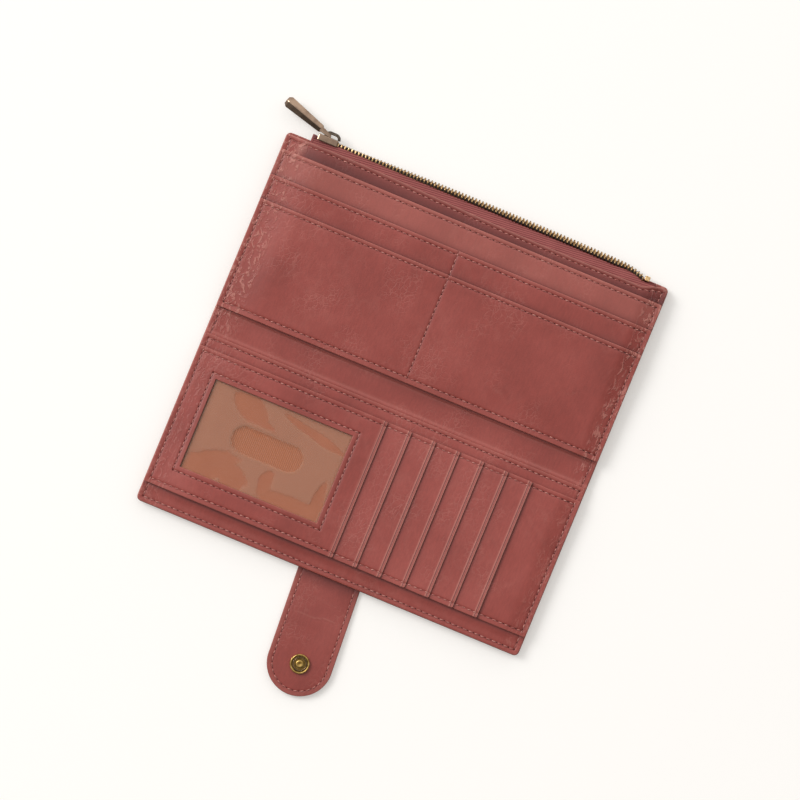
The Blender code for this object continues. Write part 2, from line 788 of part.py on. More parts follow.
# Snap
def make_snap(bodies, looks):
    brass = looks["brass"]
    on_tab = (tab_x(snap_y), snap_y, 0)
    face = tab_fold_z
    back = face - tab_thickness
    floor = face + seat_gap + socket_base
    cap_rim = back - seat_gap
    head = floor + seat_gap
    cap_profile = [
        (0, back - cap_height),
        (cap_radius / 2, back - cap_height + cap_edge / 4),
        (cap_radius - cap_edge, back - cap_height + cap_edge),
        (cap_radius, cap_rim - cap_edge / 2),
        (cap_radius - cap_edge / 2, cap_rim),
        (post_radius, cap_rim),
        (post_radius, head),
        (post_head_radius, head),
        (post_head_radius, head + post_head_height / 2),
        (post_head_radius / 2, head + post_head_height),
        (0, head + post_head_height - post_dimple),
    ]
    add_piece("snap_cap", turned_mesh("snap_cap", cap_profile, on_tab), brass, bodies["tab_end"])

    rim_top = face + seat_gap + socket_rim
    edge = (socket_radius - socket_well_radius) / 4
    socket_profile = [
        (post_radius + bore_gap, face + seat_gap),
        (socket_radius, face + seat_gap),
        (socket_radius, rim_top - edge),
        (socket_radius - edge, rim_top),
        (socket_well_radius + edge, rim_top),
        (socket_well_radius, rim_top - edge),
        (socket_well_radius, floor),
        (post_radius + bore_gap, floor),
    ]
    add_piece("snap_socket", turned_mesh("snap_socket", socket_profile, on_tab), brass, bodies["tab_end"])

    flange_low = -seat_gap - stud_flange
    bead = (stud_radius - stud_bore_radius) / 3
    stud_profile = [
        (eyelet_radius + bore_gap / 2, -seat_gap),
        (eyelet_radius + bore_gap / 2, flange_low),
        (stud_bore_radius, flange_low),
        (stud_bore_radius, stud_tip_z + bead),
        (stud_bore_radius + bead, stud_tip_z),
        (stud_radius - bead, stud_tip_z),
        (stud_radius, stud_tip_z + bead),
        (stud_radius, flange_low),
        (stud_flange_radius - seat_gap, flange_low),
        (stud_flange_radius, flange_low + seat_gap),
        (stud_flange_radius, -seat_gap),
    ]
    stud = turned_mesh("snap_stud", stud_profile, stud_place())
    add_piece("snap_stud", stud, brass, bodies["upper_half"])

    flare_top = flange_low - seat_gap
    eyelet_profile = [
        (0, flare_top - eyelet_flare),
        (eyelet_flare_radius, flare_top - eyelet_flare),
        (eyelet_flare_radius, flare_top),
        (eyelet_radius, flare_top),
        (eyelet_radius, cover_leather + seat_gap),
        (eyelet_flange_radius, cover_leather + seat_gap),
        (eyelet_flange_radius, cover_leather + seat_gap + eyelet_flange),
        (0, cover_leather + seat_gap + eyelet_flange),
    ]
    eyelet = turned_mesh("snap_eyelet", eyelet_profile, stud_place())
    add_piece("snap_eyelet", eyelet, brass, bodies["upper_half"])


# Slider: its local places follow the chain where it rests
slider_y = chain_y(across(chain_left))
plate_low_y = slider_y + chain_thickness / 2 + slider_channel
plate_high_y = plate_low_y + slider_plate
inner_high_y = slider_y - chain_thickness / 2 - slider_channel
pull_axis_y = plate_high_y + crown_window / 2
slider_travel = chain_right - hook_length - slider_length - slider_left


def upright_mesh(name, outline, low, high):
    """A solid from an outline of (x, z) points, between two Y values."""
    mesh = plate_mesh(name, outline, -high, -low)
    mesh.transform(Matrix.Rotation(radians(90), 4, "X"))
    return mesh


def slider_outline(nose, tail, before, after):
    """The slider's plan as (x, z) points: wide at its nose, straight to the shoulder, then tapering."""
    left, right = across(slider_left), across(slider_left + slider_length)
    shoulder = left + (right - left) * slider_shoulder_share
    return (
        (left - before, chain_z - nose / 2),
        (shoulder, chain_z - nose / 2),
        (right + after, chain_z - tail / 2),
        (right + after, chain_z + tail / 2),
        (shoulder, chain_z + nose / 2),
        (left - before, chain_z + nose / 2),
    )


def make_slider(bodies, looks):
    body, nickel = bodies["zip_slider"], looks["nickel"]
    plan = slider_outline(slider_nose_width, slider_tail_width, 0, 0)
    shell = upright_mesh("slider_body", plan, plate_high_y - slider_plate - slider_flange, plate_high_y)
    slider = add_piece("slider_body", shell, nickel, body)
    corner = slider.modifiers.new("outline rounding", "BEVEL")
    corner.width = slider_wall
    corner.segments = 2
    corner.limit_method = "ANGLE"
    corner.angle_limit = radians(50)

    nose, tail = slider_nose_width - 2 * slider_wall, slider_tail_width - 2 * slider_wall
    channel = slider_outline(nose, tail, overrun, overrun)
    channel_low = plate_high_y - slider_plate - slider_flange - overrun
    cut = upright_mesh("channel cut", channel, channel_low, plate_low_y)
    combine(slider, helper("channel cut", cut), "DIFFERENCE")

    left, right = across(slider_left), across(slider_left + slider_length)
    half = slider_inner_width / 2
    inset = slider_wall
    tongue = (
        (left, chain_z - half + inset),
        (left + inset, chain_z - half),
        (right - inset, chain_z - half),
        (right, chain_z - half + inset),
        (right, chain_z + half - inset),
        (right - inset, chain_z + half),
        (left + inset, chain_z + half),
        (left, chain_z + half - inset),
    )
    inner = upright_mesh("inner plate", tongue, inner_high_y - slider_plate, inner_high_y)
    combine(slider, helper("inner plate", inner), "UNION")
    middle = left + diamond_length / 2
    wedge = (
        (left + inset, chain_z - diamond_width / 4),
        (middle, chain_z - diamond_width / 2),
        (left + diamond_length, chain_z),
        (middle, chain_z + diamond_width / 2),
        (left + inset, chain_z + diamond_width / 4),
    )
    post = upright_mesh("diamond", wedge, inner_high_y - slider_plate / 2, plate_low_y + slider_plate / 2)
    combine(slider, helper("diamond", post), "UNION")


def arch_outline(left, right, low, top, steps=6):
    """Half of a strap's edge: up the left foot, round both shoulders and down the right foot."""
    rise = top - low
    points = [(left, low)]
    for centre, start in ((left + rise, pi), (right - rise, pi / 2)):
        for step in range(steps + 1):
            angle = start - (pi / 2) * step / steps
            points.append((centre + rise * cos(angle), low + rise * sin(angle)))
    points.append((right, low))
    return points


def make_crown(bodies, looks):
    """The strap over the slider that traps the pull's cross pin."""
    low = plate_high_y + crown_seat
    left, right = across(crown_left), across(crown_left + crown_length)
    top = plate_high_y + crown_window + crown_strap
    outer = arch_outline(left, right, low, top)
    inner = arch_outline(left + crown_strap, right - crown_strap, low, top - crown_strap)
    outline = outer + inner[::-1]
    z0, z1 = chain_z - crown_width / 2, chain_z + crown_width / 2
    mesh = plate_mesh("slider_crown", outline, z0, z1)
    crown = add_piece("slider_crown", mesh, looks["nickel"], bodies["zip_slider"])
    round_edges(crown, crown_strap / 5, angle_deg=60)


def diamond_ring(along, half):
    """Four corners of the pull's diamond section, across Z and square to it."""
    return ((along, 0, -half), (along, half, 0), (along, 0, half), (along, -half, 0))


def make_pull(bodies, looks):
    """A tapered bar of diamond section, ending in a slotted tongue that carries the cross pin."""
    body, nickel = bodies["zip_pull"], looks["nickel"]
    slot_half = crown_width / 2 + running_gap
    half = slot_half + pull_cheek
    eye = pull_pin_radius
    tongue_end = pull_slot_length + 2 * eye
    tongue = ((0, -half), (tongue_end, -half), (tongue_end, half), (0, half))
    place = Matrix.Translation((across(pull_axis_x), pull_axis_y, chain_z))
    place @= Matrix.Rotation(pi - radians(pull_rest_deg), 4, "Z")

    mesh = upright_mesh("pull_tab", tongue, -pull_tongue / 2, pull_tongue / 2)
    mesh.transform(place)
    pull = add_piece("pull_tab", mesh, nickel, body)
    slot = (
        (-eye, -slot_half),
        (pull_slot_length, -slot_half),
        (pull_slot_length, slot_half),
        (-eye, slot_half),
    )
    cut = upright_mesh("pull slot", slot, -pull_tongue, pull_tongue)
    cut.transform(place)
    combine(pull, helper("pull slot", cut), "DIFFERENCE")

    pin_profile = ((0, -half), (eye, -half), (eye, half), (0, half))
    pin = turned_mesh("pull pin", pin_profile, (0, 0, 0))
    pin.transform(place)
    combine(pull, helper("pull pin", pin), "UNION")

    bm = bmesh.new()
    start = pull_slot_length + eye
    root = diamond_ring(start, pull_root_half)
    wide = diamond_ring(pull_length - pull_end_chamfer, pull_end_half)
    end = diamond_ring(pull_length, pull_end_half - pull_end_chamfer)
    loops = [[bm.verts.new(corner) for corner in ring] for ring in (root, wide, end)]
    for before, after in zip(loops, loops[1:]):
        for corner in range(4):
            following = (corner + 1) % 4
            bm.faces.new((before[corner], before[following], after[following], after[corner]))
    bm.faces.new(loops[0])
    bm.faces.new(loops[-1])
    bar = finished_mesh("pull bar", bm)
    bar.transform(place)
    bar_helper = helper("pull bar", bar)
    round_edges(bar_helper, pull_edge_round, segments=2, angle_deg=30)
    combine(pull, bar_helper, "UNION")


def make_bodies():
    """One carrier for each body, on its joint's axis."""
    upper = carrier("upper_half", (0, 0, 0))
    spine = carrier("spine", (0, fold_y, pivot_z), upper)
    lower = carrier("lower_half", (0, -fold_y, pivot_z), spine)
    tab_bend = carrier("tab_bend", (0, tab_root_y, tab_inner_z), lower)
    tab_end = carrier("tab_end", (0, tab_fold_y, tab_fold_z), tab_bend)
    slider = carrier("zip_slider", (across(slider_left), slider_y, chain_z), upper)
    pull = carrier("zip_pull", (across(pull_axis_x), pull_axis_y, chain_z), slider)
    return {
        "upper_half": upper,
        "spine": spine,
        "lower_half": lower,
        "tab_bend": tab_bend,
        "tab_end": tab_end,
        "zip_slider": slider,
        "zip_pull": pull,
    }


def main():
    for thing in list(bpy.data.objects):
        bpy.data.objects.remove(thing)
    bodies = make_bodies()
    looks = finishes()
    make_cover(bodies, looks)
    make_tapes(bodies, looks)
    make_chain(bodies, looks)
    make_stops(bodies, looks)
    make_upper_panels(bodies, looks)
    make_bill_pocket(bodies, looks)
    make_slots(bodies, looks)
    make_window_pocket(bodies, looks)
    make_tab(bodies, looks)
    make_snap(bodies, looks)
    make_slider(bodies, looks)
    make_crown(bodies, looks)
    make_pull(bodies, looks)
    for name, body in bodies.items():
        print(name, [round(value, 6) for value in body["place"]])
    print("stud", [round(value, 6) for value in stud_place()], "rest", rest_z, "travel", slider_travel)


main()
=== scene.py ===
from math import radians, tan

import bmesh
import bpy
import numpy as np
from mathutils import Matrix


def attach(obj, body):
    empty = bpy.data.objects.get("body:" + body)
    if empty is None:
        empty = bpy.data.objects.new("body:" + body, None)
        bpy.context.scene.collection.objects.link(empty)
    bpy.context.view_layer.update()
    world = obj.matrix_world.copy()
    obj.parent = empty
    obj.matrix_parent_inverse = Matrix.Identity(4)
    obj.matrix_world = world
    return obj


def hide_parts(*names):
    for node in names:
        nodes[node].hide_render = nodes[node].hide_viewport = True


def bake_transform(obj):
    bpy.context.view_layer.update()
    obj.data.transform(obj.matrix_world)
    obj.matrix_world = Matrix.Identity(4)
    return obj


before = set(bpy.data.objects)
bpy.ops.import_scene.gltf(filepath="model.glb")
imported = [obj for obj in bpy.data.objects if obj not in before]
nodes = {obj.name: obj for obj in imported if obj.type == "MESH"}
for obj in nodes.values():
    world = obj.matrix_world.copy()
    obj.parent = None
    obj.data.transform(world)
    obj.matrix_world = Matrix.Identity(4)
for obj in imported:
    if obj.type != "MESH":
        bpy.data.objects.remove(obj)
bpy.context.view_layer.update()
mm = 0.001


def hexColour(code):  # sRGB hex to the linear values a shader works in
    parts = np.array([int(code[i : i + 2], 16) for i in (1, 3, 5)]) / 255
    linear = np.where(parts <= 0.04045, parts / 12.92, ((parts + 0.055) / 1.055) ** 2.4)
    return (*linear.tolist(), 1.0)


def ease(t):  # 3t^2 - 2t^3 between 0 and 1
    t = np.clip(t, 0, 1)
    return t * t * (3 - 2 * t)


def bell(distance, width):  # exp(-(d / w)^2)
    return np.exp(-((distance / width) ** 2))


def fade(distance, width):  # exp(-d / w)
    return np.exp(-distance / width)


def fieldNoise(x, y, cell, seed):
    # value noise from 0 to 1: seeded lattice values at every cell corner, eased between the four corners
    lattice = np.random.default_rng(seed).random((64, 64))
    gx, gy = x / cell + 640.0, y / cell + 640.0
    ix, iy = np.floor(gx).astype(int), np.floor(gy).astype(int)
    tx, ty = ease(gx - ix), ease(gy - iy)
    low = lattice[ix % 64, iy % 64] * (1 - tx) + lattice[(ix + 1) % 64, iy % 64] * tx
    high = lattice[ix % 64, (iy + 1) % 64] * (1 - tx) + lattice[(ix + 1) % 64, (iy + 1) % 64] * tx
    return low * (1 - ty) + high * ty


def feed(node, inputs):  # each input is a value or another node's output
    for key, value in inputs.items():
        if isinstance(value, bpy.types.NodeSocket):
            node.id_data.links.new(value, node.inputs[key])
        else:
            node.inputs[key].default_value = value


def addNode(tree, kind, inputs=None, **settings):
    node = tree.nodes.new("ShaderNode" + kind)
    for key, value in settings.items():
        setattr(node, key, value)
    feed(node, inputs or {})
    return node


def startMaterial(name, roughness, metallic=0.0):
    material = bpy.data.materials.new(name)
    material.use_nodes = True
    tree = material.node_tree
    shader = tree.nodes["Principled BSDF"]
    feed(shader, {"Roughness": roughness, "Metallic": metallic})
    return material, tree, shader, addNode(tree, "TexCoord").outputs["Object"]


def noiseOf(tree, place, scale, detail, roughness=0.5):
    inputs = {"Vector": place, "Scale": scale, "Detail": detail, "Roughness": roughness}
    return addNode(tree, "TexNoise", inputs).outputs


def stretched(tree, place, scale):
    return addNode(tree, "Mapping", {"Vector": place, "Scale": scale}).outputs["Vector"]


def mapped(tree, value, low, high, toLow=0.0, toHigh=1.0, kind="SMOOTHSTEP"):
    inputs = {"Value": value, "From Min": low, "From Max": high, "To Min": toLow, "To Max": toHigh}
    return addNode(tree, "MapRange", inputs, interpolation_type=kind).outputs["Result"]


def maths(tree, operation, *terms, clamp=False):
    return addNode(tree, "Math", dict(enumerate(terms)), operation=operation, use_clamp=clamp).outputs[0]


def vectorMaths(tree, operation, inputs):
    return addNode(tree, "VectorMath", inputs, operation=operation).outputs[0]


def mixColour(tree, share, first, second):
    return addNode(tree, "Mix", {0: share, 6: first, 7: second}, data_type="RGBA").outputs[2]


def attributeOf(tree, name):
    return addNode(tree, "Attribute", attribute_name=name).outputs["Fac"]


def rampOf(tree, share, *stops):  # stops: position and hex colour
    ramp = addNode(tree, "ValToRGB", {"Fac": share})
    elements = ramp.color_ramp.elements
    for element, (position, code) in zip(elements, (stops[0], stops[-1])):
        element.position, element.color = position, hexColour(code)
    for position, code in stops[1:-1]:
        elements.new(position).color = hexColour(code)
    return ramp.outputs["Color"]


def bumpOf(tree, height, strength, distance, invert=False, **before):
    inputs = {"Height": height, "Strength": strength, "Distance": distance, **before}
    return addNode(tree, "Bump", inputs, invert=invert).outputs["Normal"]


leatherLook = {
    "shade": "#86362D",
    "middle": "#913D34",
    "light": "#9A463D",
    # paler colour of rubbed wear, and of painted highlights
    "rubbed": "#BE7C6F",
    # dark colour of pressed seams and lines, and of the painted shade beside the layers above
    "pressed": "#4E1613",
    "mottleSize": 30.0,  # mm across one patch of deeper dye
    "creaseSize": 2.6,  # mm between creases of the worn finish
    "creasePale": 0.17,
    "grainSize": 0.7,  # mm; real grain is about 0.3, too fine to show here
    "wrinkleFrom": 85.0,  # mm from the middle, where the drawn-in sides start to wrinkle
    "wrinkleShift": -2.0,  # moves both limits along X: the left side wrinkles more
    "wrinkleShares": (0.45, 1.35),  # of the lower and the upper half
    "wrinklePaleAndGlint": 0.42,
    "roughness": 0.47,
}


def makeLeather(name, look):
    # Pull-up cowhide: drum dyed, waxed and plated smooth. The wax gives a soft sheen and paler bends and rims.
    material, tree, shader, place = startMaterial(name, look["roughness"])
    mottle = noiseOf(tree, place, 1000 / look["mottleSize"], 4.0, 0.55)["Fac"]
    dye = rampOf(tree, mottle, (0.30, look["shade"]), (0.5, look["middle"]), (0.72, look["light"]))
    # fibres of the stroked finish: fine noise drawn out along Y, a little lighter and darker than the dye
    fibres = noiseOf(tree, stretched(tree, place, (1.0, 0.26, 0.5)), 1100.0, 3.0, 0.62)["Fac"]
    strokes = mapped(tree, fibres, 0.3, 0.7, 0.92, 1.08, "LINEAR")
    stroked = vectorMaths(tree, "SCALE", {0: dye, "Scale": strokes})
    # creases: edges of warped Voronoi cells, shown only where a broad noise lets them
    shift = vectorMaths(tree, "SCALE", {0: noiseOf(tree, place, 160.0, 3.0)["Color"], "Scale": 0.007})
    bent = vectorMaths(tree, "ADD", {0: place, 1: shift})
    cellInputs = {"Vector": bent, "Scale": 1000 / look["creaseSize"]}
    cells = addNode(tree, "TexVoronoi", cellInputs, feature="DISTANCE_TO_EDGE").outputs["Distance"]
    where = mapped(tree, noiseOf(tree, place, 55.0, 3.0)["Fac"], 0.46, 0.68)
    crease = maths(tree, "MULTIPLY", mapped(tree, cells, 0.0, 0.10, 1.0, 0.0), where)
    # wrinkles of the drawn-in sides: noise drawn out along Y, only where |x| is past a limit; paler partly as the
    # wax's bends, partly as painted glints
    axes = addNode(tree, "SeparateXYZ", {0: place}).outputs
    outward = maths(tree, "ABSOLUTE", maths(tree, "ADD", axes["X"], look["wrinkleShift"] * mm))
    sideMask = mapped(tree, outward, look["wrinkleFrom"] * mm, (look["wrinkleFrom"] + 4) * mm)
    halfShare = mapped(tree, axes["Y"], -10 * mm, 12 * mm, *look["wrinkleShares"])
    sideShare = maths(tree, "MULTIPLY", sideMask, halfShare)
    wrinkle = noiseOf(tree, stretched(tree, bent, (1.0, 0.24, 1.0)), 820.0, 2.0)["Fac"]
    sideLines = maths(tree, "MULTIPLY", mapped(tree, wrinkle, 0.50, 0.66), sideShare)
    pale = maths(tree, "MULTIPLY", crease, look["creasePale"])
    pale = maths(tree, "MULTIPLY_ADD", sideLines, look["wrinklePaleAndGlint"], pale)
    # the wear attribute holds real wear and painted highlights
    rubbed = maths(tree, "ADD", attributeOf(tree, "wear"), pale, clamp=True)
    wornAndHighlit = mixColour(tree, rubbed, stroked, hexColour(look["rubbed"]))
    # the seam attribute holds seams, pressed lines and painted shade
    colour = mixColour(tree, attributeOf(tree, "seam"), wornAndHighlit, hexColour(look["pressed"]))
    grain = noiseOf(tree, place, 1000 / look["grainSize"], 2.0, 0.6)["Fac"]
    normal = bumpOf(tree, grain, 0.35, 0.12 * mm)
    normal = bumpOf(tree, fibres, 0.25, 0.10 * mm, Normal=normal)
    normal = bumpOf(tree, crease, 0.45, 0.10 * mm, invert=True, Normal=normal)
    normal = bumpOf(tree, sideLines, 0.6, 0.26 * mm, Normal=normal)
    gloss = mapped(tree, mottle, 0.3, 0.7, look["roughness"] - 0.06, look["roughness"] + 0.08, "LINEAR")
    feed(shader, {"Base Color": colour, "Normal": normal, "Roughness": gloss, "IOR": 1.5})
    feed(shader, {"Coat Weight": 0.06, "Coat Roughness": 0.25})
    return material


def makePlain(name, colours, size, roughness, metallic=0.0, bump=0.0, paintedShade=None):
    # a finish whose colour wanders between two near tones, with the same noise as relief
    material, tree, shader, place = startMaterial(name, roughness, metallic)
    noise = noiseOf(tree, place, 1000 / size, 3.0)["Fac"]
    tone = rampOf(tree, noise, (0.35, colours[0]), (0.65, colours[1]))
    if paintedShade:  # painted shade where the wear attribute is high
        tone = mixColour(tree, attributeOf(tree, "wear"), tone, hexColour(paintedShade))
    feed(shader, {"Base Color": tone})
    if bump:
        feed(shader, {"Normal": bumpOf(tree, noise, 0.5, bump * mm)})
    return material


def makeRibbed(name, colours, pitch, angle, roughness, depth, weight):
    # a woven band or faille: raised ribs at a thread pitch, in two tones
    material, tree, shader, place = startMaterial(name, roughness)
    turned = addNode(tree, "Mapping", {"Vector": place, "Rotation": (0, 0, radians(angle))}).outputs["Vector"]
    inputs = {"Vector": turned, "Scale": 314.16 / pitch, "Distortion": 0.7, "Detail": 1.0, "Detail Scale": 0.6}
    bands = {"wave_type": "BANDS", "bands_direction": "X", "wave_profile": "SIN"}
    ribs = addNode(tree, "TexWave", inputs, **bands).outputs["Fac"]
    patches = noiseOf(tree, place, 90.0, 3.0)["Fac"]
    mixed = addNode(tree, "Mix", {0: weight, 2: patches, 3: ribs}, data_type="FLOAT").outputs[0]
    tone = rampOf(tree, mixed, (0.25, colours[0]), (0.75, colours[1]))
    feed(shader, {"Base Color": tone, "Normal": bumpOf(tree, ribs, 0.6, depth * mm)})
    return material


def makeVinyl(name):
    # Calendered soft vinyl film, clear: it clings in places and stands off, hazy, in others
    material, tree, shader, place = startMaterial(name, 0.16)
    cling, frameShadow = attributeOf(tree, "wear"), attributeOf(tree, "seam")
    clear = maths(tree, "MULTIPLY_ADD", noiseOf(tree, place, 60.0, 2.0)["Fac"], 0.25, cling)
    haze = mapped(tree, clear, 0.05, 1.05, 0.34, 0.03)
    # painted shadow of the frame's edge: the film turns dark and opaque along it
    tint = mixColour(tree, frameShadow, hexColour("#C58F74"), hexColour("#2E1C10"))
    feed(shader, {"Base Color": tint, "Alpha": maths(tree, "MAXIMUM", haze, frameShadow), "IOR": 1.53})
    return material


leather = makeLeather("waxedLeather", leatherLook)
thread = makePlain("polyesterThread", ("#98524B", "#C2877C"), 1.3, 0.6, bump=0.05)  # polyester, twisted and dyed
needleHoleShade = makePlain("needleHoleShade", ("#381310", "#58231F"), 0.5, 0.9)  # painted shade in the hole the needle made
tapeCloth = makeRibbed("twillTape", ("#763735", "#A05753"), 0.95, 84, 0.85, 0.14, 0.6)  # woven, dyed tape
liningCloth = makeRibbed("failleLining", ("#9A512F", "#BC7147"), 0.9, 0, 0.7, 0.10, 0.8)  # ribbed weave
backingCloth = makeRibbed("smoothBacking", ("#9F5737", "#AC6444"), 0.45, 0, 0.6, 0.02, 0.3)  # fine weave
brass = makePlain("antiqueBrass", ("#96763D", "#CFAC68"), 2.2, 0.30, 1.0, 0.02)  # oxidised, then rubbed back
toothBrass = makePlain("antiqueTooth", ("#B48A56", "#FAD6A0"), 1.1, 0.34, 1.0, 0.02, "#2A1C10")  # tumbled brass; its dark colour is painted shade
darkBrass = makePlain("darkWellBrass", ("#54431F", "#86693A"), 0.9, 0.42, 1.0, 0.02)  # darker brass in the well
toothGap = makePlain("zipShadeCord", ("#160D0A", "#2A1813"), 0.6, 0.9)  # a cord painted black for the shade between the teeth
darkNickel = makePlain("darkCrownNickel", ("#4A4038", "#75695C"), 2.0, 0.22, 1.0, 0.01)  # plated wire, darker than the slider
lacquer = makePlain("dyedStop", ("#5E2826", "#70322F"), 1.0, 0.5)  # stops lacquered in the tape's colour
nickel = makePlain("antiqueNickel", ("#8A7362", "#AD927C"), 5.0, 0.20, 1.0, 0.01)  # cast zinc, plated
boardPaper = makePlain("greyBoard", ("#77726B", "#8C877E"), 0.8, 0.92, bump=0.03)  # pressed grey board
vinyl = makeVinyl("clearVinyl")
print("materials made")

# sheets are closed grids with rounded rims
rimSteps = np.array([0.05, 0.12, 0.22, 0.36, 0.6, 1.0])
seamSteps = np.array([-0.6, -0.36, -0.18, 0.0, 0.18, 0.36, 0.6])
closest = 0.04  # no two lines of a grid are nearer, except at a flat end
farAway = 99.0


def gridLines(low, high, step, rounded=(True, True), seams=()):
    # lines about a step apart, closer at round rims and beside seams; a flat end has its last line twice
    lines = [np.linspace(low, high, max(3, round((high - low) / step) + 1))]
    lines += [low + rimSteps] if rounded[0] else []
    lines += [high - rimSteps] if rounded[1] else []
    lines += [seam + seamSteps for seam in seams]
    inner = np.sort(np.concatenate(lines))
    inner = inner[(inner > low + closest) & (inner < high - closest)]
    inner = inner[np.concatenate(([True], np.diff(inner) > closest))]
    full = np.concatenate(([low], inner, [high]))
    away = np.full(full.size, farAway)
    away = np.minimum(away, full - low) if rounded[0] else away
    away = np.minimum(away, high - full) if rounded[1] else away
    if not rounded[0]:
        full, away = np.concatenate(([low], full)), np.concatenate(([0.0], away))
    if not rounded[1]:
        full, away = np.concatenate((full, [high])), np.concatenate((away, [0.0]))
    return full, away


def insertLines(lines, low, high):  # exact lines at an opening's two edges, with close ones outside it
    extra = np.concatenate(([low, high], low - rimSteps, high + rimSteps))
    near = np.min(np.abs(lines[:, None] - extra[None, :]), axis=1) < closest
    lines = np.unique(np.concatenate((lines[~near], extra)))
    return lines, np.minimum(lines - lines[0], lines[-1] - lines)


def sheetGrid(linesX, linesY):  # both coordinates of each point, and its distance to the nearest rim
    x, y = np.meshgrid(linesX[0], linesY[0], indexing="ij")
    return x, y, np.minimum(linesX[1][:, None], linesY[1][None, :])


def addObject(name, data):
    made = bpy.data.objects.new(name, data)
    bpy.context.scene.collection.objects.link(made)
    return made


def dress(mesh, material):
    mesh.materials.clear()
    mesh.materials.append(material)


def meshObject(name, points, faces, material, attributes=None, sharp=None):
    mesh = bpy.data.meshes.new(name)
    mesh.from_pydata((points * mm).tolist(), [], faces.tolist() if hasattr(faces, "tolist") else faces)
    for key, values in (attributes or {}).items():
        mesh.attributes.new(key, "FLOAT", "POINT").data.foreach_set("value", values.astype(np.float32))
    mesh.materials.append(material)
    mesh.shade_smooth()
    if sharp:
        mesh.set_sharp_from_angle(angle=radians(sharp))
    return addObject(name, mesh)


def reworked(mesh, work):  # edits a mesh in place by way of a bmesh
    bm = bmesh.new()
    bm.from_mesh(mesh)
    work(bm)
    bm.to_mesh(mesh)
    bm.free()


def mergeClose(bm):
    bmesh.ops.remove_doubles(bm, verts=bm.verts, dist=1e-7)


def closedSheet(name, x, y, away, mid, half, relief, material, wear, seam, radius, keep=None):
    # top = mid + (half + relief) * r and low = mid - half * r, where r = sqrt(1 - (1 - d / radius)^2) near the rim
    share = np.sqrt(np.clip(1 - (1 - np.clip(away / radius, 0, 1)) ** 2, 0, 1))
    top, low = mid + (half + relief) * share, mid - half * share
    number = np.arange(x.size).reshape(x.shape)
    lower = np.where(away <= 0, number, number + x.size)
    cells = np.ones((x.shape[0] - 1, x.shape[1] - 1), bool) if keep is None else keep
    up = np.stack((number[:-1, :-1], number[1:, :-1], number[1:, 1:], number[:-1, 1:]), -1)[cells]
    down = np.stack((lower[:-1, :-1], lower[:-1, 1:], lower[1:, 1:], lower[1:, :-1]), -1)[cells]
    points = np.concatenate([np.stack((x, y, z), -1).reshape(-1, 3) for z in (top, low)])
    used, faces = np.unique(np.concatenate((up, down)), return_inverse=True)
    # the underside has half the wear and painted highlights, and no seam marks or painted shade
    tones = {"wear": np.concatenate((wear.ravel(), wear.ravel() * 0.5))}
    tones["seam"] = np.concatenate((seam.ravel(), seam.ravel() * 0))
    tones = {key: np.clip(values[used], 0, 1) for key, values in tones.items()}
    made = meshObject(name, points[used], faces.reshape(-1, 4), material, tones, sharp=60)
    reworked(made.data, mergeClose)  # flat ends leave coincident corners
    return made


def roundCorners(x, y, box, radius, which):
    # a corner square of side R becomes a quarter disc: (a, b) -> (a sqrt(1 - b^2 / 2), b sqrt(1 - a^2 / 2))
    x0, x1, y0, y1 = box
    for sx, sy in which:
        cx, cy = (x1 - radius if sx > 0 else x0 + radius), (y1 - radius if sy > 0 else y0 + radius)
        a, b = (x - cx) * sx / radius, (y - cy) * sy / radius
        inside = (a > 0) & (b > 0)
        x = np.where(inside, cx + sx * radius * a * np.sqrt(1 - np.clip(b, 0, 1) ** 2 / 2), x)
        y = np.where(inside, cy + sy * radius * b * np.sqrt(1 - np.clip(a, 0, 1) ** 2 / 2), y)
    return x, y


def ringFaces(count, size):  # quads between each ring of points and the next
    n, k = np.meshgrid(np.arange(count - 1) * size, np.arange(size), indexing="ij")
    following = (k + 1) % size
    return np.stack((n + k, n + following, n + size + following, n + size + k), -1).reshape(-1, 4)


def pointsOf(mesh):  # mm
    co = np.zeros(len(mesh.vertices) * 3)
    mesh.vertices.foreach_get("co", co)
    return co.reshape(-1, 3) / mm


def movePoints(mesh, *places):  # x, y and z in mm
    mesh.vertices.foreach_set("co", (np.column_stack(places) * mm).ravel())


def boxOf(node):  # x0, x1, y0, y1, z0, z1 in mm
    co = pointsOf(nodes[node].data)
    return [value for pair in zip(co.min(0), co.max(0)) for value in pair]


def undersideOf(node, axis=1):
    # the node's lower envelope along one axis, left out within its rounded ends
    co = pointsOf(nodes[node].data)
    at, height = np.round(co[:, axis], 2), co[:, 2]
    stations = np.unique(at)
    low = np.array([height[at == station].min() for station in stations])
    inner = (stations > stations[0] + 0.18) & (stations < stations[-1] - 0.18)
    return lambda value: np.interp(value, stations[inner], low[inner])


madePieces = []


def settle(made, slotName, body, *replaced):  # a piece that moves with one body
    if replaced:
        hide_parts(*replaced)
    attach(made, body)
    madePieces.append(made.name)


def settleBent(made, nearBody, farBody, start, end, *replaced):  # leather baked where it lies and not bent; nearBody, farBody, start and end (Y in mm) are not used
    if replaced:
        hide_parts(*replaced)
    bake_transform(made)
    madePieces.append(made.name)


# the shared shape of the wallet: pinched sides and a slow wave
shape = {
    "base": 1.6,  # height that the side seams pull down to
    "pinched": 0.62,  # share of the height left at the sides
    "leftFlat": 1.0,
    "leftRise": 21.0,
    "rightFlat": 1.5,
    "rightRise": 10.0,
    "wave": 0.26,
}
halfWidth = boxOf("cover_upper")[1]


def pinchShare(x):
    left = ease((x + halfWidth - shape["leftFlat"]) / shape["leftRise"])
    right = ease((halfWidth - x - shape["rightFlat"]) / shape["rightRise"])
    return shape["pinched"] + (1 - shape["pinched"]) * np.minimum(left, right)


